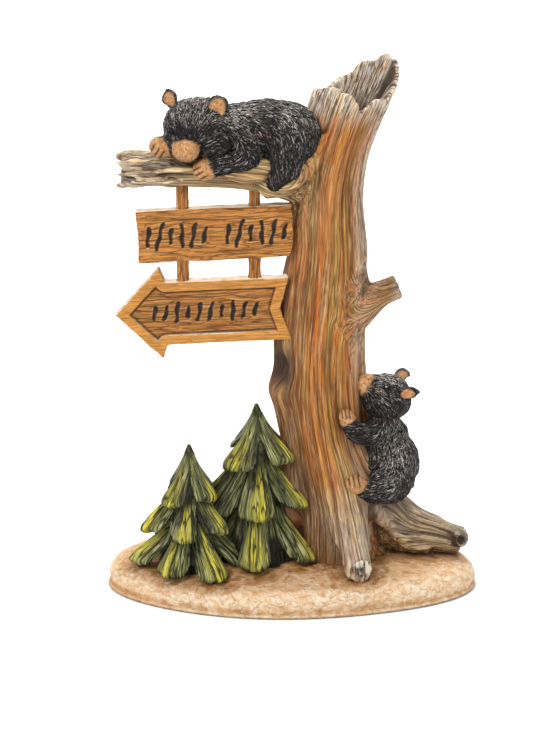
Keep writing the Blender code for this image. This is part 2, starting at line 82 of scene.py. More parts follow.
# Roots and stub, each from inside the trunk: x, y, z and radius in millimetres
FRONT_ROOT = (
    (18, 4, 92, 11), (22, -1, 70, 13), (26, -10, 49, 12.6), (28.5, -19, 33, 10.2), (30.5, -27, 24, 8.4),
    (32.0, -34, 20.2, 7.2), (32.8, -38.4, 19.4, 6.2),
)
RIGHT_ROOT = (
    (20, 4, 82, 7), (29, 3, 62, 12), (40, 3, 43, 13.5), (54, 4, 27.5, 13), (70, 5, 22.5, 9),
    (84, 6, 18, 7),
)
OTHER_ROOTS = (
    ((14, 3, 100, 13), (8, 3, 70, 14), (3, 2, 46, 12.5), (-5, 2, 28, 9.5), (-24, 4, 14, 5)),
    ((14, 10, 54, 12), (5, 20, 34, 9), (-5, 29, 20, 6.5), (-12, 34, 13, 4.5)),
    ((28, 12, 54, 12), (37, 22, 33, 9), (46, 30, 20, 6.5), (54, 34, 13, 4.5)),
    ((32, -4, 58, 6), (40, -10, 43, 5.2), (48, -10, 31, 4.2), (58, -6, 22, 3.6), (68, -1, 17, 3)),
)
STUB = (
    (26, 3, 135, 12.5), (35, 2, 141, 9.6), (42, 1.5, 145, 7), (47.5, 1.5, 147.5, 6.3),
    (50.8, 1.5, 149, 6.6),
)
# The swelling that carries the limb's front up into the trunk
COLLAR = (
    (-14, -7, 199, 6), (-4, -10.5, 203, 7), (5, -10.5, 212, 7.4), (12, -7.5, 226, 7),
)
# How far round from the trunk's left towards its front the knot hole sits, in radians
KNOT_TURN = 0.5
# The limb leaves the trunk at this share of its height. Its rows: share of its reach, then shift to the
# back, rise in millimetres and girth
LIMB_RISE = 0.789
LIMB_ROWS = (
    (0.00, 4.0, -14.0, 1.75), (0.17, -3.5, -6.5, 1.30), (0.38, -8.0, -2.4, 1.02),
    (0.62, -8.0, -0.4, 0.98), (0.84, -8.0, 0.0, 1.00), (1.00, -8.0, 0.4, 0.96),
)
# A worn knob on the limb: middle and radii
KNOB = ((-20.5, -14.6, 209.6), (12.5, 6.0, 6.8))
# Curled ends of the front and the right root: middle, the way each faces, and radius
CURLS = (
    ((33.2, -38.8, 20.4), (0.34, -0.93, 0.0), 3.9),
    ((83.2, -1.8, 21.8), (0.60, -0.77, 0.22), 4.8),
)
# Plates of bark that lie along the limb's torn end: x, y and z of both ends, and the thickness
SPLINTERS = (
    ((-82.4, -10.0, 211.5), (-66, -11.5, 213.4), 2.4),
    ((-81.6, -13.4, 206.5), (-60, -14.6, 208.0), 2.0),
    ((-82.6, -5.0, 213.2), (-72, -6.0, 215.0), 2.3),
    ((-76.0, -14.2, 202.6), (-50, -15.0, 204.6), 1.9),
    ((-72.0, -11.5, 212.6), (-46, -12.2, 214.2), 2.2),
    ((-82.4, -12.0, 201.4), (-70, -13.0, 200.4), 2.2),
    ((-62.0, -14.0, 208.6), (-38, -14.2, 210.6), 2.0),
)

# The base's profile: share of its radius, share of its height
BASE_ROWS = (
    (0.02, 0.00), (0.50, 0.00), (0.965, 0.00), (0.988, 0.16), (1.000, 0.42), (0.988, 0.68),
    (0.950, 0.86), (0.860, 0.97), (0.500, 1.06), (0.080, 1.10),
)

# Spruce tiers: rise of the boughs' roots and of their hems, hem radius and half a bough's width as
# shares of the height, then each bough's turn in degrees
TALL_TIERS = (
    (0.96, 0.65, 0.255, 0.152, (-124, -30, 48, 112)),
    (0.80, 0.35, 0.335, 0.140, (-90, -22, 44, 110, 176, -150)),
    (0.56, 0.03, 0.390, 0.134, (-93, -26, 42, 110, 176, -154)),
)
SHORT_TIERS = (
    (0.96, 0.56, 0.250, 0.150, (-128, -36, 50, 118)),
    (0.78, 0.30, 0.350, 0.134, (-99, -32, 34, 104, -174)),
    (0.52, 0.03, 0.480, 0.170, (-113, -60, 0, 60, 120, -176)),
)

# Rows of shallow strokes on the boards: each row's middle from the board's middle, and its strokes
PLANK_ROWS = ((-18, 6), (19.5, 6))
ARROW_ROWS = ((1, 10),)
STROKE_SPACING = 5.3
# Open space above each board, in millimetres, and how far the boards slope up to the right
PLANK_DROP = 9
ARROW_DROP = 9.5
BOARD_SLOPE = math.radians(2.6)

# Where the posts stand, as shares of the plank's length from its left end
POST_SHARES = (0.294, 0.752)
# Where the spruces stand, as shares of the base's length and depth from its middle
TALL_SPRUCE_SPOT = (-0.093, -0.02)
SHORT_SPRUCE_SPOT = (-0.272, -0.12)
# Where the sleeping cub lies, as a share of the limb's reach, and the climbing cub's share of the trunk
SLEEPER_SHARE = 0.43
CLIMBER_SHARE = 0.225

# The photograph's camera, in metres: its place, what it looks at, and its lens in millimetres
CAMERA_SPOT = (-0.012, -1.147566, 0.457758)
CAMERA_GOAL = (-0.012, 0.0, 0.10691)
CAMERA_LENS = 120.97
# Studio lights in metres and watts: name, place, side, power and what each faces
LIGHTS = (
    ("key_softbox", (-0.75, -0.95, 1.15), 0.8, 19.0, (0.0, 0.0, 0.12)),
    ("fill_softbox", (0.95, -0.85, 0.75), 1.0, 5.0, (0.0, 0.0, 0.12)),
    ("top_softbox", (0.1, 0.35, 1.5), 1.1, 7.0, (0.0, 0.0, 0.12)),
    ("backdrop_softbox", (0.0, 1.9, 1.8), 1.6, 60.0, (0.0, 2.2, 0.0)),
)

# Lengths in millimetres
SIZES = (
    ("base_length", "The oval base from left to right", 181),
    ("base_depth", "The oval base from front to back", 104),
    ("base_height", "Floor to the top of the base", 14),
    ("trunk_height", "Top of the base to the highest splinter", 245),
    ("trunk_width", "The trunk from left to right", 41),
    ("trunk_depth", "The trunk from front to back", 35),
    ("hollow_depth", "Depth of the hollow below its broken rim", 26),
    ("hollow_wall", "Thickness of the trunk round the hollow", 6.5),
    ("groove_depth", "Depth of the long grooves in the wood", 1.3),
    ("limb_reach", "The limb from the trunk's middle to its cut end", 98),
    ("limb_thickness", "The limb across", 16.6),
    ("board_thickness", "Both sign boards from front to back", 8),
    ("plank_length", "The upper board from left to right", 74),
    ("plank_height", "The upper board from bottom to top", 25.5),
    ("arrow_length", "The lower board from its tip to its tail", 83.5),
    ("arrow_height", "The arrow's shaft from bottom to top", 31),
    ("arrow_spread", "The arrow's head from barb to barb", 45),
    ("arrow_head", "The arrow's head from tip to barbs", 22),
    ("frame_width", "The raised border round the arrow's panel", 5),
    ("panel_sink", "Depth of the arrow's panel below its frame", 1.1),
    ("post_width", "Thickness of the posts between the boards", 6.2),
    ("stroke_width", "Width of a painted stroke on the boards", 1.9),
    ("tall_spruce", "Height of the tall spruce above the base", 78),
    ("short_spruce", "Height of the short spruce above the base", 61),
    ("bough_thickness", "Thickness of a spruce bough", 4.2),
    ("sleeping_cub", "The sleeping cub from head to rump", 80),
    ("climbing_cub", "The climbing cub from tail to ears", 70),
    ("fur_depth", "Depth of the carved strokes in the fur", 0.42),
)
PAINTS = (
    ("rust", "Warm stripes down the trunk", "#C46A1C"),
    ("bark", "Brown of the trunk", "#965F22"),
    ("ochre", "Yellow-brown stripes of the trunk", "#B48430"),
    ("ash", "Grey stripes of the trunk", "#8C7450"),
    # dusk: painted shade on the trunk's left side, its foot and the right root's folds
    ("dusk", "Dark brown wash on the trunk's left side", "#5E452C"),
    ("limb", "Grey tan of the limb", "#B09062"),
    ("root", "Grey brown of the roots", "#A0886C"),
    # weathered: also the painted highlight in the climbing cub's eye
    ("weathered", "Whitish grey of the broken top", "#D6CDC1"),
    # groove: also the painted shade where pieces meet the base and along its bottom edge
    ("groove", "Dark wash in the wood's grooves", "#4A2A14"),
    ("dry_brush", "Pale paint on the wood's ridges", "#E0C690"),
    # hollow: painted shade inside the trunk, in the knot hole, the curls, under the limb and behind the
    # spruces; also the dark cuts on the broken top
    ("hollow", "Inside of the trunk", "#3A2A1E"),
    ("board", "Golden orange of the boards", "#AE6F2C"),
    ("board_edge", "Lighter orange of the boards' edges", "#C3863B"),
    ("board_wash", "Brown wash in the boards' grain", "#53320F"),
    ("stroke", "Near-black paint of the strokes", "#1A0F0A"),
    ("fur", "Black of the fur", "#0D0A0A"),
    ("fur_ridge", "Grey dry brush on the fur", "#E0D8D2"),
    ("tan", "Muzzles, ears and paws", "#B27F49"),
    ("tan_shade", "Brown wash on muzzles, ears and paws", "#6B401F"),
    # needle_dark: also the painted shade on the spruces' unlit boughs and between them
    ("needle_dark", "Green black between the needles", "#12160C"),
    ("needle", "Middle green of the spruces", "#6C712C"),
    ("needle_ridge", "Grey green on the needles' ridges", "#AEAC80"),
    ("needle_tip", "Yellow green down each bough", "#CCBF36"),
    ("sand", "Peach of the base", "#CA9C6C"),
    # sand_light: also the painted highlight on the boards' upward faces
    ("sand_light", "Cream dry brush on the base", "#E2D6BE"),
    ("sand_stain", "Brown wash near the tree", "#86561F"),
    ("floor", "The plain floor of the stage", "#F4F4F3"),
)


def linear(code):
    """An sRGB hex colour as linear red, green and blue."""
    parts = [int(code[k : k + 2], 16) / 255 for k in (1, 3, 5)]
    return tuple(c / 12.92 if c <= 0.04045 else ((c + 0.055) / 1.055) ** 2.4 for c in parts)


def length(name, description, millimetres):
    """A length that the user can change."""
    return FloatProperty(
        name=name.replace("_", " ").capitalize(),
        description=description,
        default=millimetres * MM,
        min=0.0,
        subtype="DISTANCE",
        unit="LENGTH",
    )


def colour(name, description, code):
    """A paint that the user can change."""
    return FloatVectorProperty(
        name=name.replace("_", " ").capitalize(),
        description=description,
        default=linear(code),
        size=3,
        min=0.0,
        max=1.0,
        subtype="COLOR",
    )


class FigurineSizes(PropertyGroup):
    """The lengths that shape the figurine"""

    __annotations__ = {name: length(name, about, value) for name, about, value in SIZES}


class FigurinePaints(PropertyGroup):
    """The paints that colour the figurine"""

    __annotations__ = {name: colour(name, about, code) for name, about, code in PAINTS}


def sizes():
    """The sizes in millimetres, by name."""
    group = bpy.context.scene.figurine_sizes
    return SimpleNamespace(**{name: getattr(group, name) / MM for name, _, _ in SIZES})


def paints():
    """The paints as linear colours, by name."""
    group = bpy.context.scene.figurine_paints
    return {name: (*getattr(group, name), 1.0) for name, _, _ in PAINTS}


# Modelling


def smooth_rows(rows, count):
    """count rows on a smooth curve through the given rows."""
    rows = np.asarray(rows, float)
    ends = np.vstack([2 * rows[0] - rows[1], rows, 2 * rows[-1] - rows[-2]])
    at = np.linspace(0, len(rows) - 1, count)
    first = np.minimum(at.astype(int), len(rows) - 2)
    t = (at - first)[:, None]
    a, b, c, d = (ends[first + k] for k in range(4))
    cubic = (2 * a - 5 * b + 4 * c - d) * t**2 + (3 * b - a - 3 * c + d) * t**3
    return (2 * b + (c - a) * t + cubic) / 2


def bell(value, middle, width):
    """One at the middle, falling smoothly to nothing over about two widths."""
    return np.exp(-(((value - middle) / width) ** 2))


def ramp(value, low, high):
    """Nothing at low, rising smoothly to one at high."""
    t = np.clip((value - low) / (high - low), 0, 1)
    return t * t * (3 - 2 * t)


def add_rings(bm, rings):
    """A closed skin over rings with equally many points, with a flat cap at each end."""
    loops = [[bm.verts.new(point) for point in ring] for ring in rings]
    for lower, upper in zip(loops, loops[1:]):
        for i, corner in enumerate(lower):
            j = (i + 1) % len(lower)
            bm.faces.new((corner, lower[j], upper[j], upper[i]))
    bm.faces.new(loops[0][::-1])
    bm.faces.new(loops[-1])


def add_tube(bm, rows, sides=28, steps=40, flat=1.0):
    """A tube through (x, y, z, radius) rows, flattened across where flat is under one."""
    rows = smooth_rows(rows, steps)
    middles, radii = rows[:, :3], rows[:, 3]
    along = np.gradient(middles, axis=0)
    side = np.array([0.31, 0.9, -0.3])
    turns = np.linspace(0, 2 * math.pi, sides, endpoint=False)
    rings = []
    for middle, radius, forward in zip(middles, radii, along):
        forward = forward / np.linalg.norm(forward)
        side = side - forward * (side @ forward)
        side = side / np.linalg.norm(side)
        other = np.cross(forward, side)
        ring = np.cos(turns)[:, None] * side + flat * np.sin(turns)[:, None] * other
        rings.append(middle + radius * ring)
    add_rings(bm, rings)


def add_ball(bm, middle, radii, tilt=0.0):
    """An ellipsoid, tilted in degrees about the front-to-back axis."""
    place = Matrix.Translation(Vector(middle)) @ Matrix.Rotation(math.radians(tilt), 4, "Y")
    size = Matrix.Diagonal((*radii, 1))
    bmesh.ops.create_icosphere(bm, subdivisions=4, radius=1, matrix=place @ size)


def cell_noise(points, seed):
    """Smooth noise between -1 and 1 whose cells are one unit wide."""
    table = np.random.default_rng(seed).random(4096) * 2 - 1
    cell = np.floor(points).astype(np.int64)
    part = points - cell
    part = part * part * (3 - 2 * part)
    mixers = np.array((73856093, 19349663, 83492791))
    total = np.zeros(len(points))
    for corner in np.ndindex(2, 2, 2):
        keys = ((cell + corner) * mixers).T
        weight = np.where(corner, part, 1 - part).prod(axis=1)
        total += weight * table[(keys[0] ^ keys[1] ^ keys[2]) & 4095]
    return total


def rough_noise(points, size, seed, octaves=3):
    """Noise of that size in millimetres, each octave half the size and strength of the last."""
    total, strength = np.zeros(len(points)), 0.0
    for k in range(octaves):
        total += cell_noise(points * (2**k / np.asarray(size, float)) + 17.3 * k, seed + k) * 0.5**k
        strength += 0.5**k
    return total / strength


def streaks(points, flow, size, reach, seed, steps=6):
    """Noise drawn out along the flow into strokes about twice as long as the reach."""
    total = np.zeros(len(points))
    for k in range(-steps, steps + 1):
        share = k / steps
        total += cell_noise((points + flow * (share * reach)) / size, seed) * (1 - 0.6 * abs(share))
    return total / total.std()


def relaxed(values, links, rounds):
    """Values evened out with those of the neighbouring points, that many times."""
    first, second = links.T
    count = len(values)
    shares = 1 + np.bincount(links.ravel(), minlength=count)[:, None]
    flat = values.reshape(count, -1)
    for _ in range(rounds):
        total = flat.copy()
        for k in range(flat.shape[1]):
            total[:, k] += np.bincount(first, flat[second, k], count)
            total[:, k] += np.bincount(second, flat[first, k], count)
        flat = total / shares
    return flat.reshape(values.shape)


class Clay:
    """A form in millimetres, worked as arrays of points before it becomes a piece."""

    def __init__(self, name, bm, grain=None, rounds=0):
        bmesh.ops.recalc_face_normals(bm, faces=bm.faces)
        mesh = bpy.data.meshes.new(name)
        bm.to_mesh(mesh)
        bm.free()
        self.piece = bpy.data.objects.new(name, mesh)
        bpy.context.scene.collection.objects.link(self.piece)
        if grain:
            remesh = self.piece.modifiers.new("Knead", "REMESH")
            remesh.mode = "VOXEL"
            remesh.voxel_size = grain
            bpy.context.view_layer.update()
            evaluated = self.piece.evaluated_get(bpy.context.evaluated_depsgraph_get())
            mesh = bpy.data.meshes.new_from_object(evaluated)
            self.piece.modifiers.clear()
            self.piece.data = mesh
        self.mesh = mesh
        self.points = np.zeros(len(mesh.vertices) * 3)
        mesh.vertices.foreach_get("co", self.points)
        self.points = self.points.reshape(-1, 3)
        links = np.zeros(len(mesh.edges) * 2, np.int64)
        mesh.edges.foreach_get("vertices", links)
        self.links = links.reshape(-1, 2)
        self.points = relaxed(self.points, self.links, rounds)
        self.settle()

    def settle(self):
        """Writes the points to the mesh and reads how the surface faces."""
        self.mesh.vertices.foreach_set("co", self.points.ravel())
        self.mesh.update()
        normals = np.zeros(len(self.points) * 3, np.float32)
        self.mesh.vertex_normals.foreach_get("vector", normals)
        self.normals = normals.reshape(-1, 3).astype(float)

    def push(self, amount):
        """Moves the surface out by that much at each point."""
        self.points = self.points + self.normals * amount[:, None]
        self.settle()

    def relief(self, rounds):
        """How far each point stands above its surroundings, in millimetres."""
        return ((self.points - relaxed(self.points, self.links, rounds)) * self.normals).sum(axis=1)

    def keep(self, **layers):
        """Stores one value or one vector a point under each name, for the material."""
        for name, values in layers.items():
            values = np.asarray(values, np.float32)
            kind, field = ("FLOAT", "value") if values.ndim == 1 else ("FLOAT_VECTOR", "vector")
            self.mesh.attributes.new(name, kind, "POINT").data.foreach_set(field, values.ravel())

    def finished(self, material):
        """Turns the form into a piece in metres, inside the solid model's box."""
        margin = 0.05
        self.points = np.clip(self.points, LOW + margin, HIGH - margin)
        self.points[:, 2] = np.maximum(self.points[:, 2], 0.0)
        self.points = self.points * MM
        self.settle()
        self.mesh.materials.clear()
        self.mesh.materials.append(material)
        self.mesh.shade_smooth()
        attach(self.piece, "root")
        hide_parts(NODE)
        return self.piece


# Materials


def new_material(name, roughness, gloss):
    """A material that is no metal, and its Principled BSDF."""
    material = bpy.data.materials.new(name)
    material.use_nodes = True
    shader = material.node_tree.nodes["Principled BSDF"]
    values = {"Metallic": 0.0, "IOR": 1.49, "Roughness": roughness, "Specular IOR Level": gloss}
    for key, value in values.items():
        shader.inputs[key].default_value = value
    return material, shader


class Paintwork:
    """Acrylic paint on cast polyresin, from masks measured in millimetres along a place."""

    def __init__(self, name, roughness, gloss, paint, place=None):
        self.material, self.shader = new_material(name, roughness, gloss)
        self.tree, self.paint = self.material.node_tree, paint
        if place:
            self.place = self.add("Attribute", out=1, attribute_name=place)
        else:
            own = self.add("TexCoord", out=3)
            self.place = self.add("VectorMath", {0: own, 1: (1 / MM,) * 3}, operation="MULTIPLY")

    def add(self, kind, inputs=(), out=0, **settings):
        """Adds a node with its settings and links, and gives the output asked for."""
        made = self.tree.nodes.new("ShaderNode" + kind)
        for key, value in settings.items():
            setattr(made, key, value)
        for key, value in dict(inputs).items():
            if isinstance(value, bpy.types.NodeSocket):
                self.tree.links.new(value, made.inputs[key])
            else:
                made.inputs[key].default_value = value
        return made.outputs[out]

    def combined(self, operation, *masks):
        """The masks taken together one after another, where a name is what the form stored."""
        total = None
        for mask in masks:
            if isinstance(mask, str):
                mask = self.add("Attribute", out=2, attribute_name=mask)
            total = mask if total is None else self.add("Math", {0: total, 1: mask}, operation=operation)
        return total

    def noise(self, size, detail, roughness):
        """Noise of that size along the place's three ways."""
        scale = tuple(1 / s for s in size)
        scaled = self.add("VectorMath", {0: self.place, 1: scale}, operation="MULTIPLY")
        settings = {"Vector": scaled, "Scale": 1.0, "Detail": detail, "Roughness": roughness}
        return self.add("TexNoise", settings)

    def patchy(self, size, low, high, amount=1.0, detail=3.0):
        """A mask from noise of that size, nothing at low and that amount at high."""
        return self.add("MapRange", {0: self.noise(size, detail, 0.55), 1: low, 2: high, 4: amount})

    def fine_lines(self, size, width, amount):
        """A mask of thin unbroken lines where noise of that size crosses its middle."""
        aside = self.combined("SUBTRACT", self.noise(size, 1.0, 0.4), 0.5)
        aside = self.add("Math", {0: aside}, operation="ABSOLUTE")
        return self.add("MapRange", {0: aside, 1: 0.2 * width, 2: width, 3: amount, 4: 0.0})

    def drawn_out(self, size, reach, low, high):
        """A mask of strokes of that width, reaching that far both ways along the stored flow."""
        flow = self.add("Attribute", out=1, attribute_name="flow")
        noises = []
        for k in range(-3, 4):
            along = {0: flow, 1: (k / 3 * reach,) * 3, 2: self.place}
            at = self.add("VectorMath", along, operation="MULTIPLY_ADD")
            noises.append(self.add("TexNoise", {"Vector": at, "Scale": 1 / size, "Detail": 0.0}))
        return self.add("MapRange", {0: self.combined("ADD", *noises), 1: low, 2: high})

    def lay(self, ground, *coats):
        """Lays coats, each a paint and the masks that are multiplied, over the ground paint."""
        colour = self.paint[ground]
        for name, *masks in coats:
            mask = self.combined("MULTIPLY", *masks)
            colour = self.add("Mix", {0: mask, 6: colour, 7: self.paint[name]}, out=2, data_type="RGBA")
        self.tree.links.new(colour, self.shader.inputs["Base Color"])

    def finished(self, height, distance):
        """Lets the height, in units of that distance in millimetres, tilt the surface."""
        bump = self.add("Bump", {"Height": height, "Distance": distance * MM, "Strength": 1.0})
        self.tree.links.new(bump, self.shader.inputs["Normal"])
        return self.material


def wood_material(paint):
    """Polyresin cast in a carved mould, washed dark in its grooves and dry-brushed along the grain.

    To the eye: warm stripes that run with the grooves, chalky pale ridges and a low sheen.
    """
    work = Paintwork("polyresin_wood_washed_and_dry_brushed", 0.62, 0.3, paint, "grain")
    patchy, fine_lines = work.patchy, work.fine_lines
    # The share of pale dry brush: most on the limb, the roots and the broken top
    worn = work.add("MapRange", {0: work.combined("MAXIMUM", "limb", "root", "aged"), 3: 0.30})
    # Long cracks 2 to 3 mm apart
    wide, narrow = fine_lines((4.2, 4.2, 150), 0.018, 0.7), fine_lines((2.1, 2.1, 70), 0.022, 0.5)
    cracks = work.combined("MAXIMUM", wide, narrow)
    work.lay(
        "bark",
        # Stripes of paint 3 to 8 mm wide, as long as the brush was drawn
        ("rust", patchy((4, 4, 120), 0.42, 0.58)),
        ("ochre", patchy((3.2, 3.2, 80), 0.52, 0.64, 0.85)),
        ("ash", patchy((5, 5, 60), 0.42, 0.58, 0.95), "ashen"),
        # Painted shade on the trunk's left below the limb, its foot and the right root's folds
        ("dusk", patchy((3, 3, 50), 0.26, 0.56), "dusk"),
        ("limb", patchy((3, 3, 24), 0.2, 0.5), "limb"),
        ("root", patchy((3, 3, 30), 0.25, 0.55), "root"),
        ("weathered", patchy((1.1, 1.1, 7), 0.36, 0.56), "aged"),
        # Painted shade inside the hollow
        ("hollow", "inside"),
        # Striations half a millimetre to one millimetre apart, dark in the cuts and pale on the ridges
        ("groove", patchy((0.8, 0.8, 34), 0.51, 0.62, 0.55, 1.0)),
        ("groove", patchy((0.45, 0.45, 12), 0.54, 0.66, 0.5, 1.0)),
        ("dry_brush", worn, patchy((0.6, 0.6, 12), 0.52, 0.64, 0.8, 1.0)),
        ("dry_brush", "ridge", worn, patchy((0.8, 0.8, 6), 0.42, 0.58)),
        ("groove", "crevice", patchy((0.7, 0.7, 9), 0.25, 0.5)),
        ("weathered", patchy((0.5, 0.5, 5), 0.47, 0.57, 0.85), "aged"),
        ("groove", cracks),
        # The broken top and the torn end are crossed by short, ragged cuts
        ("hollow", patchy((0.7, 0.7, 5), 0.50, 0.60, 0.9), "aged"),
        # Painted shade in the curls, the knot hole, under the limb, in the hollow's slot and behind the
        # spruces
        ("hollow", "dark"),
    )
    fine = patchy((0.6, 0.6, 12), 0.3, 0.7, detail=2.0)
    return work.finished(work.combined("SUBTRACT", fine, cracks), 0.45)


def sand_material(paint):
    """Polyresin cast rough like packed sand, stained brown near the tree and dry-brushed with cream.

    To the eye: a matt, gritty peach skin with chalky mottling on its front and soft brown pools.
    """
    work = Paintwork("polyresin_sand_stained_and_dry_brushed", 0.78, 0.25, paint)
    patchy = work.patchy
    cracks = work.fine_lines((5, 5, 4), 0.022, 0.4)
    work.lay(
        "sand",
        ("sand_light", patchy((3.2, 3.2, 2.4), 0.40, 0.66, 0.75), "chalky"),
        ("sand_stain", patchy((7, 7, 7), 0.25, 0.60), "stain"),
        ("bark", patchy((2.5, 2.5, 2.5), 0.5, 0.72), "stain"),
        ("sand_light", "ridge", patchy((1.4, 1.4, 1.4), 0.3, 0.6)),
        ("sand_stain", cracks, patchy((6, 6, 6), 0.4, 0.6)),
        ("sand_stain", "crevice"),
        # Painted shade where the tree and the spruces meet the base and along its bottom edge
        ("groove", "contact"),
    )
    grit = patchy((2.2, 2.2, 2.2), 0.3, 0.7, detail=5.0)
    return work.finished(work.combined("SUBTRACT", grit, cracks), 0.6)


def board_material(paint):
    """Polyresin cast from a planed board, stained golden, with brown in the grain and painted strokes.

    To the eye: warm orange boards with thin dark grain lines, paler edges and glossier dark strokes.
    """
    work = Paintwork("polyresin_board_stained_with_painted_strokes", 0.55, 0.35, paint, "grain")
    patchy = work.patchy
    wide, narrow = work.fine_lines((22, 6, 1.9), 0.03, 0.85), work.fine_lines((13, 6, 1.0), 0.035, 0.55)
    lines = work.combined("MAXIMUM", wide, narrow)
    work.lay(
        "board",
        ("board_edge", patchy((26, 5, 2.6), 0.46, 0.60, 0.8)),
        ("rust", patchy((16, 4, 1.6), 0.50, 0.64, 0.35)),
        ("board_wash", patchy((14, 4, 0.7), 0.52, 0.66, 0.7, 1.0)),
        ("board_wash", "panel", patchy((14, 4, 1.6), 0.36, 0.6, 0.35)),
        ("dry_brush", "ridge", patchy((5, 3, 0.8), 0.40, 0.6, 0.7)),
        ("board_wash", lines),
        ("board_edge", "border", patchy((12, 6, 3), 0.0, 0.5, 0.85)),
        # Painted highlight: pale on the boards' upward faces
        ("sand_light", "top", patchy((6, 2, 2), 0.30, 0.50, 0.8)),
        ("board_wash", "crevice"),
        ("stroke", "stroke"),
    )
    fine = patchy((14, 3, 0.6), 0.3, 0.7, detail=1.0)
    return work.finished(work.combined("SUBTRACT", fine, lines), 0.35)


def fur_material(name, paint):
    """Polyresin with carved fur, painted black and dry-brushed grey, with tan muzzle, ears and paws.

    To the eye: black strokes with silver-grey edges that catch the light, and plain tan skin.
    """
    dry, wet = 0.5, 0.12
    work = Paintwork(name, dry, 0.25, paint)
    patchy = work.patchy
    worn = work.add("MapRange", {0: patchy((6, 6, 6), 0.3, 0.7), 3: 0.6})
    # Strands 0.3 mm wide and 2 mm long, on locks of about 1 mm by 2 mm
    strands, locks = work.drawn_out(0.31, 0.8, 3.64, 3.78), work.drawn_out(0.8, 1.2, 3.30, 3.62)
    work.lay(
        "fur",
        ("tan_shade", patchy((6, 6, 6), 0.5, 0.8, 0.2)),
        # Grey dry brush on the strands, brighter on upward faces as painted light
        ("fur_ridge", strands, locks, "strand", worn),
        ("weathered", strands, "silver"),
        ("tan", "tan"),
        ("tan_shade", "tan", patchy((1.5, 1.5, 1.5), 0.44, 0.66, 0.7, 5.0)),
        ("weathered", "tan", patchy((0.7, 0.7, 0.7), 0.52, 0.66, 0.35)),
        ("fur", "shade"),
        # A painted highlight in the climbing cub's eye
        ("weathered", "glint"),
    )
    shine = work.add("MapRange", {0: work.combined("ADD", "eye"), 3: dry, 4: wet})
    work.tree.links.new(shine, work.shader.inputs["Roughness"])
    height = work.combined("ADD", work.drawn_out(0.31, 0.8, 3.1, 3.9), locks)
    hair = work.combined("SUBTRACT", 1.0, "tan")
    return work.finished(work.combined("MULTIPLY", height, hair), 0.38)


def spruce_material(paint):
    """Polyresin with carved needles, painted dark green, with yellow green drawn down each bough.

    To the eye: near-black grooves between grey-green needles and a bright yellow-green tip.
    """
    work = Paintwork("polyresin_spruce_washed_and_dry_brushed", 0.55, 0.3, paint, "comb")
    patchy = work.patchy
    # Needles 0.4 mm wide and 8 mm long, in bunches of about 1 mm, with deep cuts between
    needles = patchy((0.36, 8, 1), 0.44, 0.56, detail=1.0)
    cuts = work.fine_lines((1.8, 26, 1), 0.045, 0.9)
    work.lay(
        "needle_dark",
        # Painted light: middle green where the boughs are lit, the green black ground left as painted shade;
        # the ridges and tips fade with it
        ("needle", patchy((1.0, 16, 1), 0.38, 0.54, detail=1.0), "strand"),
        ("needle_ridge", needles, "ridge"),
        ("needle_ridge", needles, "strand", patchy((1.6, 5, 1), 0.5, 0.6, 0.5)),
        ("needle_tip", patchy((0.6, 14, 1), 0.36, 0.52, detail=1.0), "tip"),
        ("needle_dark", work.combined("MAXIMUM", "crevice", cuts)),
    )
    return work.finished(work.combined("SUBTRACT", needles, cuts), 0.5)


# Tree


def trunk_line(size, share):
    """Centre x and y, half width and half depth of the trunk at shares of its height."""
    rows = smooth_rows(TRUNK_ROWS, 200)
    x, y, wide, deep = (np.interp(share, rows[:, 0], rows[:, k]) for k in range(1, 5))
    across, through = size.trunk_width, size.trunk_depth
    return x * across, y * across, wide * across / 2, deep * through / 2


def trunk_swell(turns, share):
    """Long flutes, and the knot hole low on the left side, added to the radius."""
    twist = 2.2 * share
    flutes = 0.5 * np.sin(5 * turns + 1.0 + twist) + 0.55 * np.sin(8 * turns + 2.6 - 1.6 * twist)
    flutes = flutes + 0.45 * np.sin(13 * turns + 0.4 + 3.1 * twist)
    left = np.abs(np.mod(turns, 2 * math.pi) - math.pi - KNOT_TURN)
    lip = 3.4 * bell(left, 0, 0.55) * bell(share, 0.345, 0.028)
    hole = -6.5 * bell(left, 0, 0.30) * bell(share, 0.392, 0.028)
    return 1.1 * flutes + lip + hole


def add_trunk(bm, size):
    """The trunk with its broken, fibrous rim, and the hollow that opens at its top."""
    sides, wall_rows, hollow_rows = 200, 240, 40
    turns = np.linspace(-math.pi, math.pi, sides, endpoint=False)
    degrees, rises = zip(*RIM_ROWS)
    rim = np.interp(np.degrees(turns), degrees, rises)
    round_rim = np.stack([np.cos(turns), np.sin(turns), 0 * turns], axis=1) * 19
    fibres = cell_noise(round_rim / 2.2, 5) + 0.6 * cell_noise(round_rim / 4.2, 6)
    torn = ramp(np.degrees(turns), -20, 5) * (1 - ramp(np.degrees(turns), 120, 150))
    rim = rim + (0.003 + 0.006 * torn) * np.clip(fibres, -0.8, 0.0)
    foot = TRUNK_ROWS[0][0]
    rings = []
    for step in np.linspace(0, 1, wall_rows):
        share = foot + (rim - foot) * step
        x, y, wide, deep = trunk_line(size, share)
        swell = trunk_swell(turns, share)
        rings.append((x, y, wide + swell, deep + swell, share))
    floor = rim.min() - size.hollow_depth / size.trunk_height
    inner = 0.8 * cell_noise(round_rim / 2.4, 8)
    for step in np.linspace(0, 1, hollow_rows):
        share = rim + (floor - rim) * step
        x, y, wide, deep = trunk_line(size, share)
        keep = math.sqrt(max(1 - step**3, 0.02))
        wall = size.hollow_wall - 1.6 * ramp(step, 0.2, 0.0) + inner
        rings.append((x, y, (wide - wall) * keep, (deep - wall) * keep, share))
    placed = []
    for x, y, wide, deep, share in rings:
        z = size.base_height + size.trunk_height * share
        placed.append(np.stack([x + wide * np.cos(turns), y + deep * np.sin(turns), z], axis=1))
    add_rings(bm, placed)


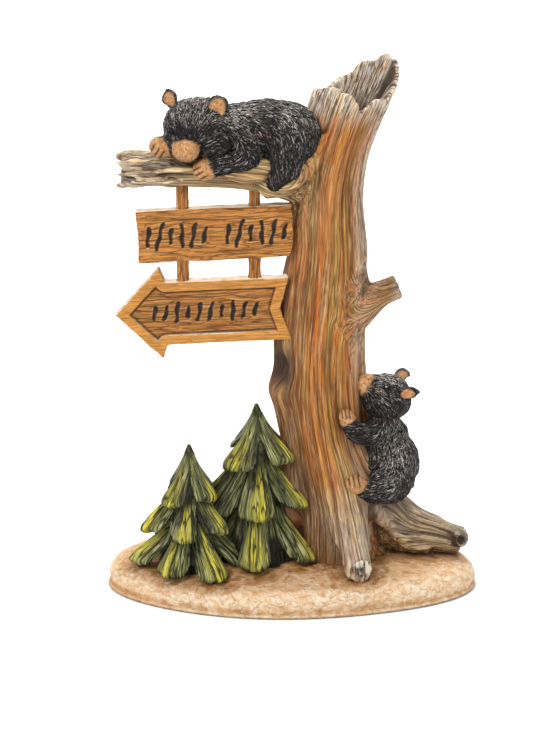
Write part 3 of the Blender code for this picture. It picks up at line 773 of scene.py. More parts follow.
def limb_rows(size):
    """The limb's middle line and radius, from inside the trunk to its cut end on the left."""
    x, y, _, _ = trunk_line(size, LIMB_RISE)
    radius = size.limb_thickness / 2
    height = size.base_height + LIMB_RISE * size.trunk_height
    return [
        (float(x) - size.limb_reach * out, float(y) + side, height + rise, radius * girth)
        for out, side, rise, girth in LIMB_ROWS
    ]


def limb_at(size, x):
    """The limb's middle and radius over that x."""
    rows = smooth_rows(limb_rows(size), 60)[::-1]
    return [float(np.interp(x, rows[:, 0], rows[:, k])) for k in (1, 2, 3)]


def straightened(points, branches):
    """Where each point would be if its branch were an upright pole, and each branch's share in it.

    A branch is its rows, the way its grain runs, the height it starts from and its pole's radius.
    In the poles the front faces -y and the left faces -x, so grain flows on where branches meet.
    """
    poles, gaps = [], []
    for rows, way, start, radius in branches:
        rows = smooth_rows(rows, 70)
        middles = rows[:, :3]
        along = np.gradient(middles, axis=0) * way
        along /= np.linalg.norm(along, axis=1)[:, None]
        front = np.array([0.0, -1.0, 0.0]) - along * (-along[:, 1:2])
        front /= np.linalg.norm(front, axis=1)[:, None]
        left = -np.cross(along, front)
        steps = np.linalg.norm(np.diff(middles, axis=0), axis=1)
        heights = start + way * np.concatenate([[0], np.cumsum(steps)])
        far = ((points[:, None, :] - middles[None, :, :]) ** 2).sum(axis=2)
        near = far.argmin(axis=1)
        offset = points - middles[near]
        rise = (offset * along[near]).sum(axis=1)
        forward = (offset * front[near]).sum(axis=1)
        leftward = (offset * left[near]).sum(axis=1)
        out = np.sqrt(forward**2 + leftward**2) + 1e-9
        poles.append(
            np.stack([-radius * leftward / out, -radius * forward / out, heights[near] + rise], axis=1)
        )
        gaps.append(np.maximum(out - rows[near, 3], -20) + np.maximum(np.abs(rise) - 2.0, 0))
    gaps = np.stack(gaps, axis=1)
    shares = np.exp(-(gaps - gaps.min(axis=1)[:, None]) / 3.4)
    shares /= shares.sum(axis=1)[:, None]
    # The front root's grain is the trunk's own, carried straight on
    held = shares.copy()
    held[:, 0] += held[:, 3]
    held[:, 3] = 0
    return sum(pole * held[:, k : k + 1] for k, pole in enumerate(poles)), shares


def tree_branches(size):
    """Every branch of the tree for straightening: trunk, limb, stub and roots."""
    shares = np.linspace(-0.03, 1.0, 24)
    x, y, wide, deep = trunk_line(size, shares)
    z = size.base_height + size.trunk_height * shares
    trunk = np.stack([x, y, z, (wide + deep) / 2], axis=1)
    branches = [(trunk, 1, z[0], 18), (limb_rows(size)[1:], 1, 195.0, 12), (STUB, 1, 130.0, 14)]
    for rows in (FRONT_ROOT, RIGHT_ROOT, *OTHER_ROOTS[1:3]):
        branches.append((rows, -1, rows[0][2], 17))
    return branches


def curled_end(points, centre, facing, radius):
    """How deep the curl at a root's end lies under each point, and how near its rim each one is."""
    facing = np.array(facing) / np.linalg.norm(facing)
    side = np.cross(facing, (0, 0, 1.0))
    side /= np.linalg.norm(side)
    offset = points - centre
    rise = offset @ facing
    out = np.hypot(offset @ side, offset @ np.cross(side, facing)) / radius
    near = ramp(np.abs(rise), 5.0, 3.0)
    deep = ramp(out, 0.98, 0.80) * ramp(rise, 0.4, -0.45)
    return np.array([deep * near, ramp(out, 1.75, 1.25) * ramp(rise, -1.4, 0.2) * near])


def coil_rows(centre, facing, radius):
    """The coil that curls in on a root's end, as a thin tube's rows."""
    facing = Vector(facing).normalized()
    side = facing.cross(Vector((0, 0, 1))).normalized()
    up = side.cross(facing)
    rows = []
    for step in np.linspace(0, 1, 22).tolist():
        turn, out = 2.6 * math.pi * step + 0.6, radius * (1 - 0.62 * step)
        spot = Vector(centre) + out * (math.cos(turn) * side + math.sin(turn) * up) - 0.8 * step * facing
        rows.append((*spot, 1.25 - 0.5 * step))
    return rows


def carve_tree(size, paint):
    """Trunk, limb, stub and roots in one flowing form, cut with grooves along the grain."""
    bm = bmesh.new()
    add_trunk(bm, size)
    add_tube(bm, limb_rows(size), sides=60, steps=110)
    for rows in (FRONT_ROOT, RIGHT_ROOT, *OTHER_ROOTS, STUB, COLLAR):
        add_tube(bm, rows, sides=44, steps=70)
    for start, end, thick in SPLINTERS:
        middle = [(s + e) / 2 for s, e in zip(start, end)]
        rows = ((*start, 0.8 * thick), (*middle, 1.1 * thick), (*end, 0.3 * thick))
        add_tube(bm, rows, sides=16, flat=0.7)
    add_ball(bm, *KNOB)
    for curl in CURLS:
        add_tube(bm, coil_rows(*curl), sides=14, steps=90)
    clay = Clay("carved_tree", bm, 0.86, 2)
    points = clay.points
    x, y, z = points.T
    grain, shares = straightened(points, tree_branches(size))
    grain = relaxed(grain, clay.links, 12)
    trunk, limb, stub, front, root = *shares.T[:4], shares[:, 3:].sum(axis=1)
    rise = (z - size.base_height) / size.trunk_height
    mid_x, mid_y, wide, deep = trunk_line(size, rise)
    out = np.hypot((x - mid_x) / wide, (y - mid_y) / deep)
    facing_in = (x - mid_x) * clay.normals[:, 0] + (y - mid_y) * clay.normals[:, 1] < 0
    inside = facing_in * ramp(z, 208, 216) * ramp(out, 0.95, 0.8) * ramp(limb, 0.4, 0.1)

    def along(across, reach, seed):
        return cell_noise(grain / (across, across, reach), seed)

    cracks = bell(along(5.5, 90, 11), 0, 0.24) + 0.6 * bell(along(3.4, 50, 12), 0, 0.26)
    ribs = 0.7 * along(3.6, 60, 13) + 0.35 * along(2.2, 34, 14)
    torn = ramp(x, -40, -64) * limb
    flakes = torn * (np.abs(along(3.6, 16, 16)) + 0.6 * np.abs(along(2.2, 9, 17)) - 0.5)
    folds = bell(along(7.5, 50, 24), 0, 0.22) * root * ramp(z, 14, 22)
    height = size.groove_depth * (0.40 * ribs - 0.50 * cracks + 0.30 * along(9, 120, 15))
    height += 1.9 * flakes + 0.5 * torn * along(1.5, 5, 19) - 1.6 * folds
    height += root * (0.6 * rough_noise(points, 7, 18, 2) + 0.5 * along(2.0, 12, 25))
    curl, lip = np.maximum(*(curled_end(points, *curl) for curl in CURLS))
    top = ramp(z, 226, 243)
    height = height * (1 - np.maximum(curl, lip)) - 0.5 * curl
    height += 0.35 * top * rough_noise(points, (2.2, 2.2, 9), 21, 2)
    clay.push(height * ramp(z, 9, 15))
    fine, broad, up = clay.relief(3), clay.relief(14), clay.normals[:, 2]
    # Painted shade: the curls, the knot hole, the limb's underside, a slot in the hollow, and deep
    # behind the spruces and in the right root's folds
    hole = bell(rise, 0.392, 0.032) * ramp((mid_x - x) / wide, 0.56, 0.70) * (1 - root)
    slot = bell(np.degrees(np.arctan2(y - mid_y, x - mid_x)), 14, 12) * inside
    right = ramp(x + 0.6 * y, 2, 34)
    nook = 0.55 * np.maximum(ramp(x, 12, 3) * ramp(z, 80, 50), 0.8 * folds * right)
    dark = np.maximum.reduce([1.2 * curl, 1.3 * hole, 0.25 * ramp(-up, 0.35, 0.9) * limb, 1.2 * slot, nook])
    # Aged: the broken top, the torn end, the curls' lips, the trunk's right edge and the roots
    ends = torn + 0.8 * ramp(x, 46, 50) * stub
    edge = 0.55 * ramp(x - mid_x, 0.55 * wide, 1.0 * wide) * trunk * ramp(rise, 0.25, 0.5)
    chalk = 0.30 * root * right * ramp(up, -0.2, 0.6) + 0.3 * front * ramp(z, 55, 25)
    # Painted shade: the trunk's left below the limb, and its foot
    left = ramp(grain[:, 0], -3, -15) * ramp(rise, 0.70, 0.50) * (1 - root)
    foot = 1.2 * ramp(rise, 0.22, 0.08) * ramp(x, 32, 22) * (1 - 0.3 * root)
    bared = (root - front * ramp(z, 36, 64)) * (0.50 + 0.5 * right)
    # The painted shade inside the hollow fades near the rim, where light reaches in
    lit = 1 - 0.85 * ramp(z - 0.5 * x, 220, 232)
    clay.keep(
        grain=grain,
        ridge=np.clip(2.6 * fine + 0.45 * broad, 0, 1),
        crevice=np.clip(-(2.4 * fine + 0.5 * broad) * (1 + 0.8 * torn) - 0.05, 0, 0.9),
        dark=np.clip(dark, 0, 0.95),
        limb=limb,
        root=np.clip(bared + 0.25 * stub, 0, 1),
        aged=np.clip(0.95 * top + 0.5 * ends + 0.7 * lip + edge + chalk, 0, 1),
        inside=0.95 * inside * lit,
        ashen=np.clip(0.15 + 0.7 * ramp(rise, 0.50, 0.80) * ramp(grain[:, 0], 6, -10), 0, 1),
        dusk=0.85 * np.clip(left + foot + 0.7 * folds * right, 0, 1) * (1 - limb),
    )
    return clay.finished(wood_material(paint))


# Base


def nearness(points, pieces, reach):
    """One where a piece touches, falling to nothing at that reach."""
    spots = []
    for piece in pieces:
        co = np.zeros(len(piece.data.vertices) * 3)
        piece.data.vertices.foreach_get("co", co)
        co = co.reshape(-1, 3) / MM
        low = co[(co[:, 2] > 8) & (co[:, 2] < 24)]
        spots.append(low[::6])
    spots = np.concatenate(spots)
    tree = KDTree(len(spots))
    for k, spot in enumerate(spots):
        tree.insert(spot, k)
    tree.balance()
    gap = np.array([tree.find(point)[2] for point in points])
    return ramp(gap, reach, 0)


def cast_base(size, paint):
    """The sandy mound: an uneven oval with a flat underside and a rounded, gritty rim."""
    rows = smooth_rows(BASE_ROWS, 40)
    spread = np.concatenate([[0], np.cumsum(np.linalg.norm(np.diff(rows * (90, 14), axis=0), axis=1))])
    even = np.linspace(0, spread[-1], 140)
    turns = np.linspace(0, 2 * math.pi, 310, endpoint=False)
    uneven = 1 + 0.012 * np.cos(3 * turns + 0.6) + 0.010 * np.cos(5 * turns + 2.1)
    uneven = uneven / np.abs(uneven * np.cos(turns)).max()
    rings = []
    for share, rise in zip(*(np.interp(even, spread, rows[:, k]) for k in (0, 1))):
        x = size.base_length / 2 * share * uneven * np.cos(turns)
        y = size.base_depth / 2 * share * uneven * np.sin(turns)
        rise = max(rise, 0.0)
        swell = 0.05 * np.sin(3 * turns + 5 * share) * rise
        rings.append(np.stack([x, y, size.base_height * (rise + swell)], axis=1))
    bm = bmesh.new()
    add_rings(bm, rings)
    clay = Clay("sandy_base", bm, None, 1)
    points = clay.points
    x, y, z = points.T
    placed = [bpy.data.objects[name] for name in ("carved_tree", "tall_spruce", "short_spruce")]
    close, touch = nearness(points, placed, 13), nearness(points, placed, 2.6)
    lumps = rough_noise(points, 11, 31, 2) * 0.8 + rough_noise(points, 4.2, 34, 2) * 0.4
    pits = -0.6 * ramp(rough_noise(points, 5.0, 37, 2), 0.25, 0.55)
    edge = bell(close + 0.16 * rough_noise(points, 9, 41), 0.22, 0.05)
    side = ramp(z, 13.5, 9.0)
    clay.push(ramp(z, 0.6, 4.0) * ((0.55 + 0.25 * side) * lumps + pits * (1 - side) + 0.4 * edge - 0.5))
    fine = clay.relief(5)
    front = ramp(-y + 0.25 * x, 4, 24) * ramp(z, 15.5, 12.0)
    left = ramp(x - 0.4 * y, 62, 20)
    clay.keep(
        ridge=np.clip(2.0 * fine, 0, 0.8),
        crevice=np.clip(-2.0 * fine, 0, 0.5),
        chalky=(0.25 + 0.75 * front) * (1 - 0.85 * close),
        stain=np.clip(1.2 * close, 0, 1) * (0.8 + 0.2 * left) * ramp(z, 5, 11),
        # Painted shade where the tree and the spruces meet the base and along its bottom edge
        contact=np.clip(0.75 * touch + 0.7 * ramp(z, 1.6, 0.4), 0, 0.85),
    )
    return clay.finished(sand_material(paint))


# Signs


def edge_gap(x, z, outline):
    """Distance inside the outline, negative outside."""
    corners = np.array(outline, float)
    best = np.full(len(x), 1e9)
    inside = np.zeros(len(x), bool)
    for a, b in zip(corners, np.roll(corners, -1, axis=0)):
        run = b - a
        t = np.clip(((x - a[0]) * run[0] + (z - a[1]) * run[1]) / (run @ run), 0, 1)
        best = np.minimum(best, np.hypot(x - a[0] - t * run[0], z - a[1] - t * run[1]))
        crosses = (a[1] > z) != (b[1] > z)
        with np.errstate(divide="ignore", invalid="ignore"):
            reach = a[0] + (z - a[1]) * run[0] / run[1]
        inside ^= crosses & (x < reach)
    return np.where(inside, best, -best)


def stroke_mask(x, z, rows, height, width):
    """Rows of slanting hand-painted strokes, which are no letters."""
    mask = np.zeros(len(x))
    for middle, count in rows:
        for k in range(count):
            at = middle + (k - (count - 1) / 2) * STROKE_SPACING
            tall = height * (1 + 0.28 * math.sin(2.3 * k + count)) / 2
            lean = 0.16 + 0.13 * math.sin(1.7 * k)
            line = at + lean * z + 0.25 * np.sin(0.9 * z + 2 * k)
            half = width / 2 * (1 + 0.22 * np.sin(0.7 * z + 3 * k))
            gap = np.hypot(x - line, np.maximum(np.abs(z) - tall + half, 0)) - half
            mask = np.maximum(mask, ramp(gap, 0.28, -0.28))
    return mask


def saw_board(name, size, outline, rows, stroke_height, place, knots, framed, paint):
    """A board from its outline, with carved grain, its strokes, and a sunk panel if it is framed."""
    half, frame_width = size.board_thickness / 2, size.frame_width
    bm = bmesh.new()
    add_rings(bm, [[(x, y, z) for x, z in outline] for y in (-half, half)])
    clay = Clay(name, bm, 0.46, 2)
    points = clay.points
    x, y, z = points.T
    gap = edge_gap(x, z, outline)
    bent = z.copy()
    for kx, kz, wide, tall, lift in knots:
        bent += lift * np.exp(-(((x - kx) / wide) ** 2) - ((z - kz) / tall) ** 2) * np.tanh((z - kz) / 2)
    grain = np.stack([x, y, bent], axis=1)
    front, back = ramp(y, -half + 1.3, -half + 0.4), ramp(y, half - 1.3, half - 0.4)
    lines = bell(cell_noise(grain / (30, 9, 2.4), 51), 0, 0.18)
    lines += 0.5 * bell(cell_noise(grain / (17, 9, 1.6), 52), 0, 0.2)
    ribs = cell_noise(grain / (24, 6, 1.5), 53)
    panel = framed * front * ramp(gap, frame_width - 0.4, frame_width + 0.4)
    lip = framed * front * bell(gap, frame_width + 0.25, 0.45)
    strokes = stroke_mask(x, z, rows, stroke_height, size.stroke_width) * ramp(y, 0, -half + 1.5)
    quiet = 1 - 0.55 * (framed * (1 - panel))
    height = -0.34 * lines * quiet * (front + back + 0.6) + 0.14 * ribs
    clay.push(height + 0.35 * rough_noise(points, 6, 55) - 0.18 - 0.55 * strokes)
    clay.points[:, 1] += size.panel_sink * panel + 0.3 * lip
    clay.settle()
    fine = clay.relief(3)
    clay.keep(
        grain=grain,
        ridge=np.clip(2.6 * fine, 0, 0.8) * (1 - strokes),
        crevice=np.clip(-2.8 * fine + 1.1 * lip - 0.04, 0, 0.95),
        panel=panel,
        border=(front - panel) * framed,
        # Upward faces, which take a painted highlight
        top=ramp(clay.normals[:, 2], 0.45, 0.75),
        stroke=strokes,
    )
    turned = Matrix.Rotation(-BOARD_SLOPE, 3, "Y")
    clay.points = clay.points @ np.array(turned).T + np.array(place)
    return clay.finished(board_material(paint))


def hang_signs(size, paint):
    """The plank and the arrow that hang below the limb on two pairs of posts."""
    bite = 2.2
    trunk_x, _, trunk_wide, _ = trunk_line(size, 0.66)
    right = float(trunk_x - trunk_wide) + bite
    middle = right - size.plank_length / 2
    limb_y, limb_z, limb_radius = limb_at(size, middle)
    half, tall = size.plank_length / 2, size.plank_height / 2
    plank_z = limb_z - limb_radius - PLANK_DROP - tall
    plank = (
        (-half, -tall), (0, -1.02 * tall), (0.94 * half, -0.98 * tall), (half, -0.42 * tall),
        (half, tall), (0.10 * half, 1.02 * tall), (-half, tall), (-0.985 * half, 0.1 * tall),
    )
    knots = ((-16, 8, 9, 4, 2.4), (14, -9, 10, 4, 2.2), (30, 4, 6, 4, -1.8))
    saw_board("plank_sign", size, plank, PLANK_ROWS, 11, (middle, limb_y, plank_z), knots, False, paint)
    bm = bmesh.new()
    radius = size.post_width / 2
    for share in POST_SHARES:
        x = right - size.plank_length * (1 - share)
        plank_mid = plank_z + (x - middle) * math.tan(BOARD_SLOPE)
        hidden = tall - 3
        arrow_top = plank_mid - tall - ARROW_DROP
        for low, high in ((plank_mid + hidden, limb_at(size, x)[1]), (arrow_top - 3, plank_mid - hidden)):
            rows = ((low, 1.08), ((low + high) / 2, 0.94), (high, 1.1))
            add_tube(bm, [(x, limb_y, z, girth * radius) for z, girth in rows])
    arrow_z = plank_z - tall - ARROW_DROP - size.arrow_height / 2
    half, tall = size.arrow_length / 2, size.arrow_height / 2
    spread, barb = size.arrow_spread / 2, half - size.arrow_head
    arrow = (
        (-half, 0), (-barb, -spread), (-barb + 2.2, -tall), (half, -tall), (half - 5, 0), (half, tall),
        (-barb + 2.6, tall), (-barb, spread),
    )
    knots = ((-24, -3, 8, 4, 2.0), (22, 7, 9, 4, -1.8))
    place = (right - 0.5 * bite - half, limb_y, arrow_z)
    saw_board("arrow_sign", size, arrow, ARROW_ROWS, 8.5, place, knots, True, paint)
    clay = Clay("sign_posts", bm, 0.42, 2)
    grain = clay.points[:, [2, 1, 0]]
    lines = bell(cell_noise(grain / (22, 1.6, 1.6), 61), 0, 0.14)
    clay.push(-0.35 * lines + 0.3 * rough_noise(clay.points, 3.5, 62))
    fine = clay.relief(3)
    plain = dict.fromkeys(("panel", "border", "top", "stroke"), 0 * fine)
    clay.keep(grain=grain, ridge=np.clip(2.4 * fine, 0, 0.7), crevice=np.clip(-2.8 * fine, 0, 0.9), **plain)
    clay.finished(board_material(paint))


# Spruces


def bough_fall(out):
    """A bough's fall at that share of its reach: steep at the stem, flaring out at the tip."""
    return out + 0.11 * np.sin(math.pi * np.clip(out, 0, 1.1))


def bough_rings(reach, drop, spread, thickness):
    """A drooping, ridged bough as rings from its root at the stem to its tip, pointing to +X."""
    lean = Vector((drop, 0, reach)).normalized()
    section = ((-1, -0.75), (-0.86, -0.2), (-0.55, 0.22), (-0.25, 0.44), (0, 0.52))
    section += ((0.25, 0.44), (0.55, 0.22), (0.86, -0.2), (1, -0.75), (0.5, -0.6), (0, -0.5), (-0.5, -0.6))
    shape = smooth_rows(
        (
            (0.02, 0.16, 1.0), (0.34, 0.44, 1.3), (0.64, 0.74, 1.5), (0.84, 0.84, 1.5), (0.96, 0.64, 1.2),
            (1.05, 0.16, 0.6),
        ),
        30,
    )
    rings = []
    for out, wide, thick in shape:
        z = -drop * bough_fall(out)
        w, t = spread * max(wide, 0.06), thickness * thick
        rings.append([Vector((reach * out, side * w, z)) + lean * (t * lift) for side, lift in section])
    return rings


def grow_spruce(name, size, spot, height, tiers, shade, paint):
    """A stem inside tiers of drooping boughs, carved into needles that fan towards each tip."""
    bm = bmesh.new()
    x, y = spot[0] * size.base_length, spot[1] * size.base_depth
    ground, thickness = size.base_height, size.bough_thickness
    foot, top = ground - 3, ground + height
    core = ((0.0, 0.27), (0.45, 0.15), (0.88, 0.05), (1.0, 0.012))
    add_tube(bm, [(x, y, foot + (top - foot) * rise, wide * height) for rise, wide in core], 32, 60)
    boughs = []
    for start, hem, radius, width, turns in tiers:
        for k, turn in enumerate(turns):
            turn = math.radians(turn)
            vary = 1 + 0.06 * math.sin(2.4 * k + 9 * radius) - 0.10 * max(math.sin(turn), 0)
            place = Matrix.Translation((x, y, ground + start * height)) @ Matrix.Rotation(turn, 4, "Z")
            shape = radius * height * vary, (start - hem) * height * vary, width * height
            rings = bough_rings(*shape, thickness)
            add_rings(bm, [[place @ point for point in ring] for ring in rings])
            boughs.append((place.inverted(), *shape))
    clay = Clay(name, bm, 0.62, 2)
    points = clay.points
    best = np.full(len(points), 1e9)
    out, aside, number, off = np.zeros((4, len(points)))
    comb = np.zeros_like(points)
    for k, (back, reach, drop, spread) in enumerate(boughs):
        local = points @ np.array(back.to_3x3()).T + np.array(back.to_translation())
        share, across = local[:, 0] / reach, local[:, 1] / spread
        sheet = np.abs(local[:, 2] + drop * bough_fall(share)) / thickness
        beyond = np.maximum(share - 1.05, 0) * 12 + np.maximum(-share, 0) * 12
        score = sheet + 2.2 * np.abs(across) + beyond
        # Needles leave the bough's root and fan out: across and along them in millimetres
        fan = 0.8 * reach * np.arctan2(local[:, 1], np.maximum(local[:, 0], 0) + 0.16 * reach)
        run = np.hypot(local[:, 0], local[:, 2])
        better = score < best
        for kept, mine in ((best, score), (out, share), (aside, across), (number, k + 0 * run), (off, sheet)):
            kept[better] = mine[better]
        comb[better] = np.stack([fan, run, np.full(len(points), 9.0 * k)], axis=1)[better]
    lower = ramp(out, 0.10, 0.50)
    ribs = cell_noise(comb / (2.4, 30, 1), 71)
    cuts = bell(cell_noise(comb / (3.4, 34, 1), 72), 0, 0.34)
    clay.push((0.62 * ribs - 1.05 * cuts) * (0.2 + 0.8 * lower) - 0.35 * bell(out, 0.98, 0.06))
    fine, broad = clay.relief(3), clay.relief(22)
    between = np.maximum(ramp(np.abs(aside), 0.74, 1.0), ramp(off, 0.9, 1.7))
    hollow = np.clip(between + ramp(-broad, 0.2, 1.0), 0, 1)
    middle = bell(aside - 0.16 * np.sin(number * 1.9), 0, 0.12 + 0.28 * ramp(out, 0.35, 0.9))
    crown = ramp(points[:, 2], ground + 0.35 * height, ground + 0.72 * height)
    sun = np.maximum(ramp(clay.normals[:, 2], -0.35, 0.35), 0.8 * crown)
    # The side towards the other tree gets painted shadow
    shaded = ramp(shade * (points[:, 0] - x), 6, 15) * ramp(points[:, 2], 72, 60)
    # Painted light and shade: lighter where the boughs face up and near the crown, dark between the boughs
    # and on the shadowed side
    lit = (1 - 0.95 * hollow) * (0.4 + 0.6 * sun) * (1 - 0.8 * shaded)
    clay.keep(
        comb=comb,
        strand=lit,
        ridge=np.clip((0.6 + 1.4 * fine) * lit * ramp(out, 0.0, 0.3), 0, 0.95),
        tip=np.clip(1.2 * ramp(out, 0.22, 0.62) * middle * lit, 0, 0.95),
        crevice=np.clip(-2.2 * fine - 0.15 + 0.75 * cuts * lower, 0, 0.92),
    )
    return clay.finished(spruce_material(paint))


# Cubs


def model_cub(name, middle, unit, balls, limbs, grain):
    """A cub's clay from ellipsoids and limbs, given in units from its middle."""
    bm = bmesh.new()
    for x, y, z, wide, deep, high, tilt in balls:
        add_ball(bm, Vector(middle) + unit * Vector((x, y, z)), unit * Vector((wide, deep, high)), tilt)
    for rows in limbs:
        rows = np.asarray(rows, float) * unit
        rows[:, :3] += middle
        add_tube(bm, rows, sides=30, steps=40)
        for end in (rows[0], rows[-1]):
            add_ball(bm, end[:3], (end[3],) * 3)
    return Clay(name, bm, grain, 5)


def in_ball(local, ball):
    """Each point in a ball's own units: across, towards the back and up."""
    x, y, z, wide, deep, high, tilt = ball
    angle = math.radians(tilt)
    a, b, c = (local - (x, y, z)).T
    a, c = a * math.cos(angle) - c * math.sin(angle), a * math.sin(angle) + c * math.cos(angle)
    return a / wide, b / deep, c / high


def flow_along(local, normals, guides):
    """The way the fur lies: away from each guide's source, near that guide."""
    total = np.zeros_like(local)
    for centre, reach, source in guides:
        weight = np.exp(-((local - centre) ** 2).sum(axis=1) / reach**2) + 1e-9
        away = local - source
        total += weight[:, None] * away / np.linalg.norm(away, axis=1)[:, None]
    total -= normals * (total * normals).sum(axis=1)[:, None]
    return total / (np.linalg.norm(total, axis=1)[:, None] + 1e-9)


def carve_fur(clay, local, guides, size, bare, seed):
    """Cuts strokes of fur that follow the guides, and gives how they rise and fall."""
    flow = flow_along(local, clay.normals, guides)
    locks = streaks(clay.points, flow, 1.1, 1.9, seed)
    clay.keep(flow=flow)
    clay.push(0.7 * size.fur_depth * np.clip(locks, -1.5, 1.5) * (1 - bare) - 0.2)
    return locks


def paint_fur(clay, strands, silver, tan, shade, eye, glint, paint):
    """Stores where the dry brush with its painted light, the tan, the dark lines and painted shade, and the
    eye's painted highlight go, and finishes the cub.
    """
    # Upward faces take more of the grey dry brush: painted light from above
    up = ramp(clay.normals[:, 2], -0.7, 0.7)
    ridge = np.clip(0.80 + 0.25 * strands, 0.15, 1)
    clay.keep(
        strand=np.clip(ridge * (0.35 + 0.65 * up) * (0.62 + 0.5 * silver), 0, 1),
        silver=np.clip(ridge * silver, 0, 0.9),
        tan=tan,
        shade=np.clip(shade, 0, 1),
        eye=eye,
        glint=glint,
    )
    return clay.finished(fur_material("polyresin_fur_of_the_" + clay.piece.name, paint))


def mark_ears(local, ears, near, far):
    """The tan cups of the ears, how deep each is dished, and the dark line round it."""
    tan, dish, line = np.zeros((3, len(local)))
    for ear in ears:
        a, b, c = in_ball(local, ear)
        out = np.hypot(a, c)
        cup = ramp(out, far, near) * (b < 0.0) * (b > -1.6)
        tan, dish = np.maximum(tan, cup), dish + cup * (1 - out**2)
        line += 0.6 * bell(out, 0.92, 0.12) * (np.abs(b) < 1.5)
    return tan, dish, line


def mark_paws(local, paws, soft, far, fur_line):
    """The tan pads and the dark grooves between toes.

    A paw is its ball, the way across its toes, the way they point, and the way out of the fur.
    """
    pads, toes = np.zeros((2, len(local)))
    for ball, *ways in paws:
        offset = (local - ball[:3]) / ball[3]
        across, along, out = (offset @ np.array(way) for way in ways)
        pad = ramp(np.linalg.norm(offset, axis=1) + soft, far, 1.12) * ramp(out + 2 * soft, *fur_line)
        lines = sum(bell(across, at, 0.10) for at in (-0.55, 0.0, 0.55)) * ramp(along, -0.3, 0.15)
        pads, toes = np.maximum(pads, pad), np.maximum(toes, pad * lines)
    return pads, toes


def glow(local, spots):
    """Soft patches of dry brush: the strength, middle and squared reach of each."""
    return sum(much * np.exp(-((local - at) ** 2).sum(axis=1) / reach) for much, at, reach in spots)


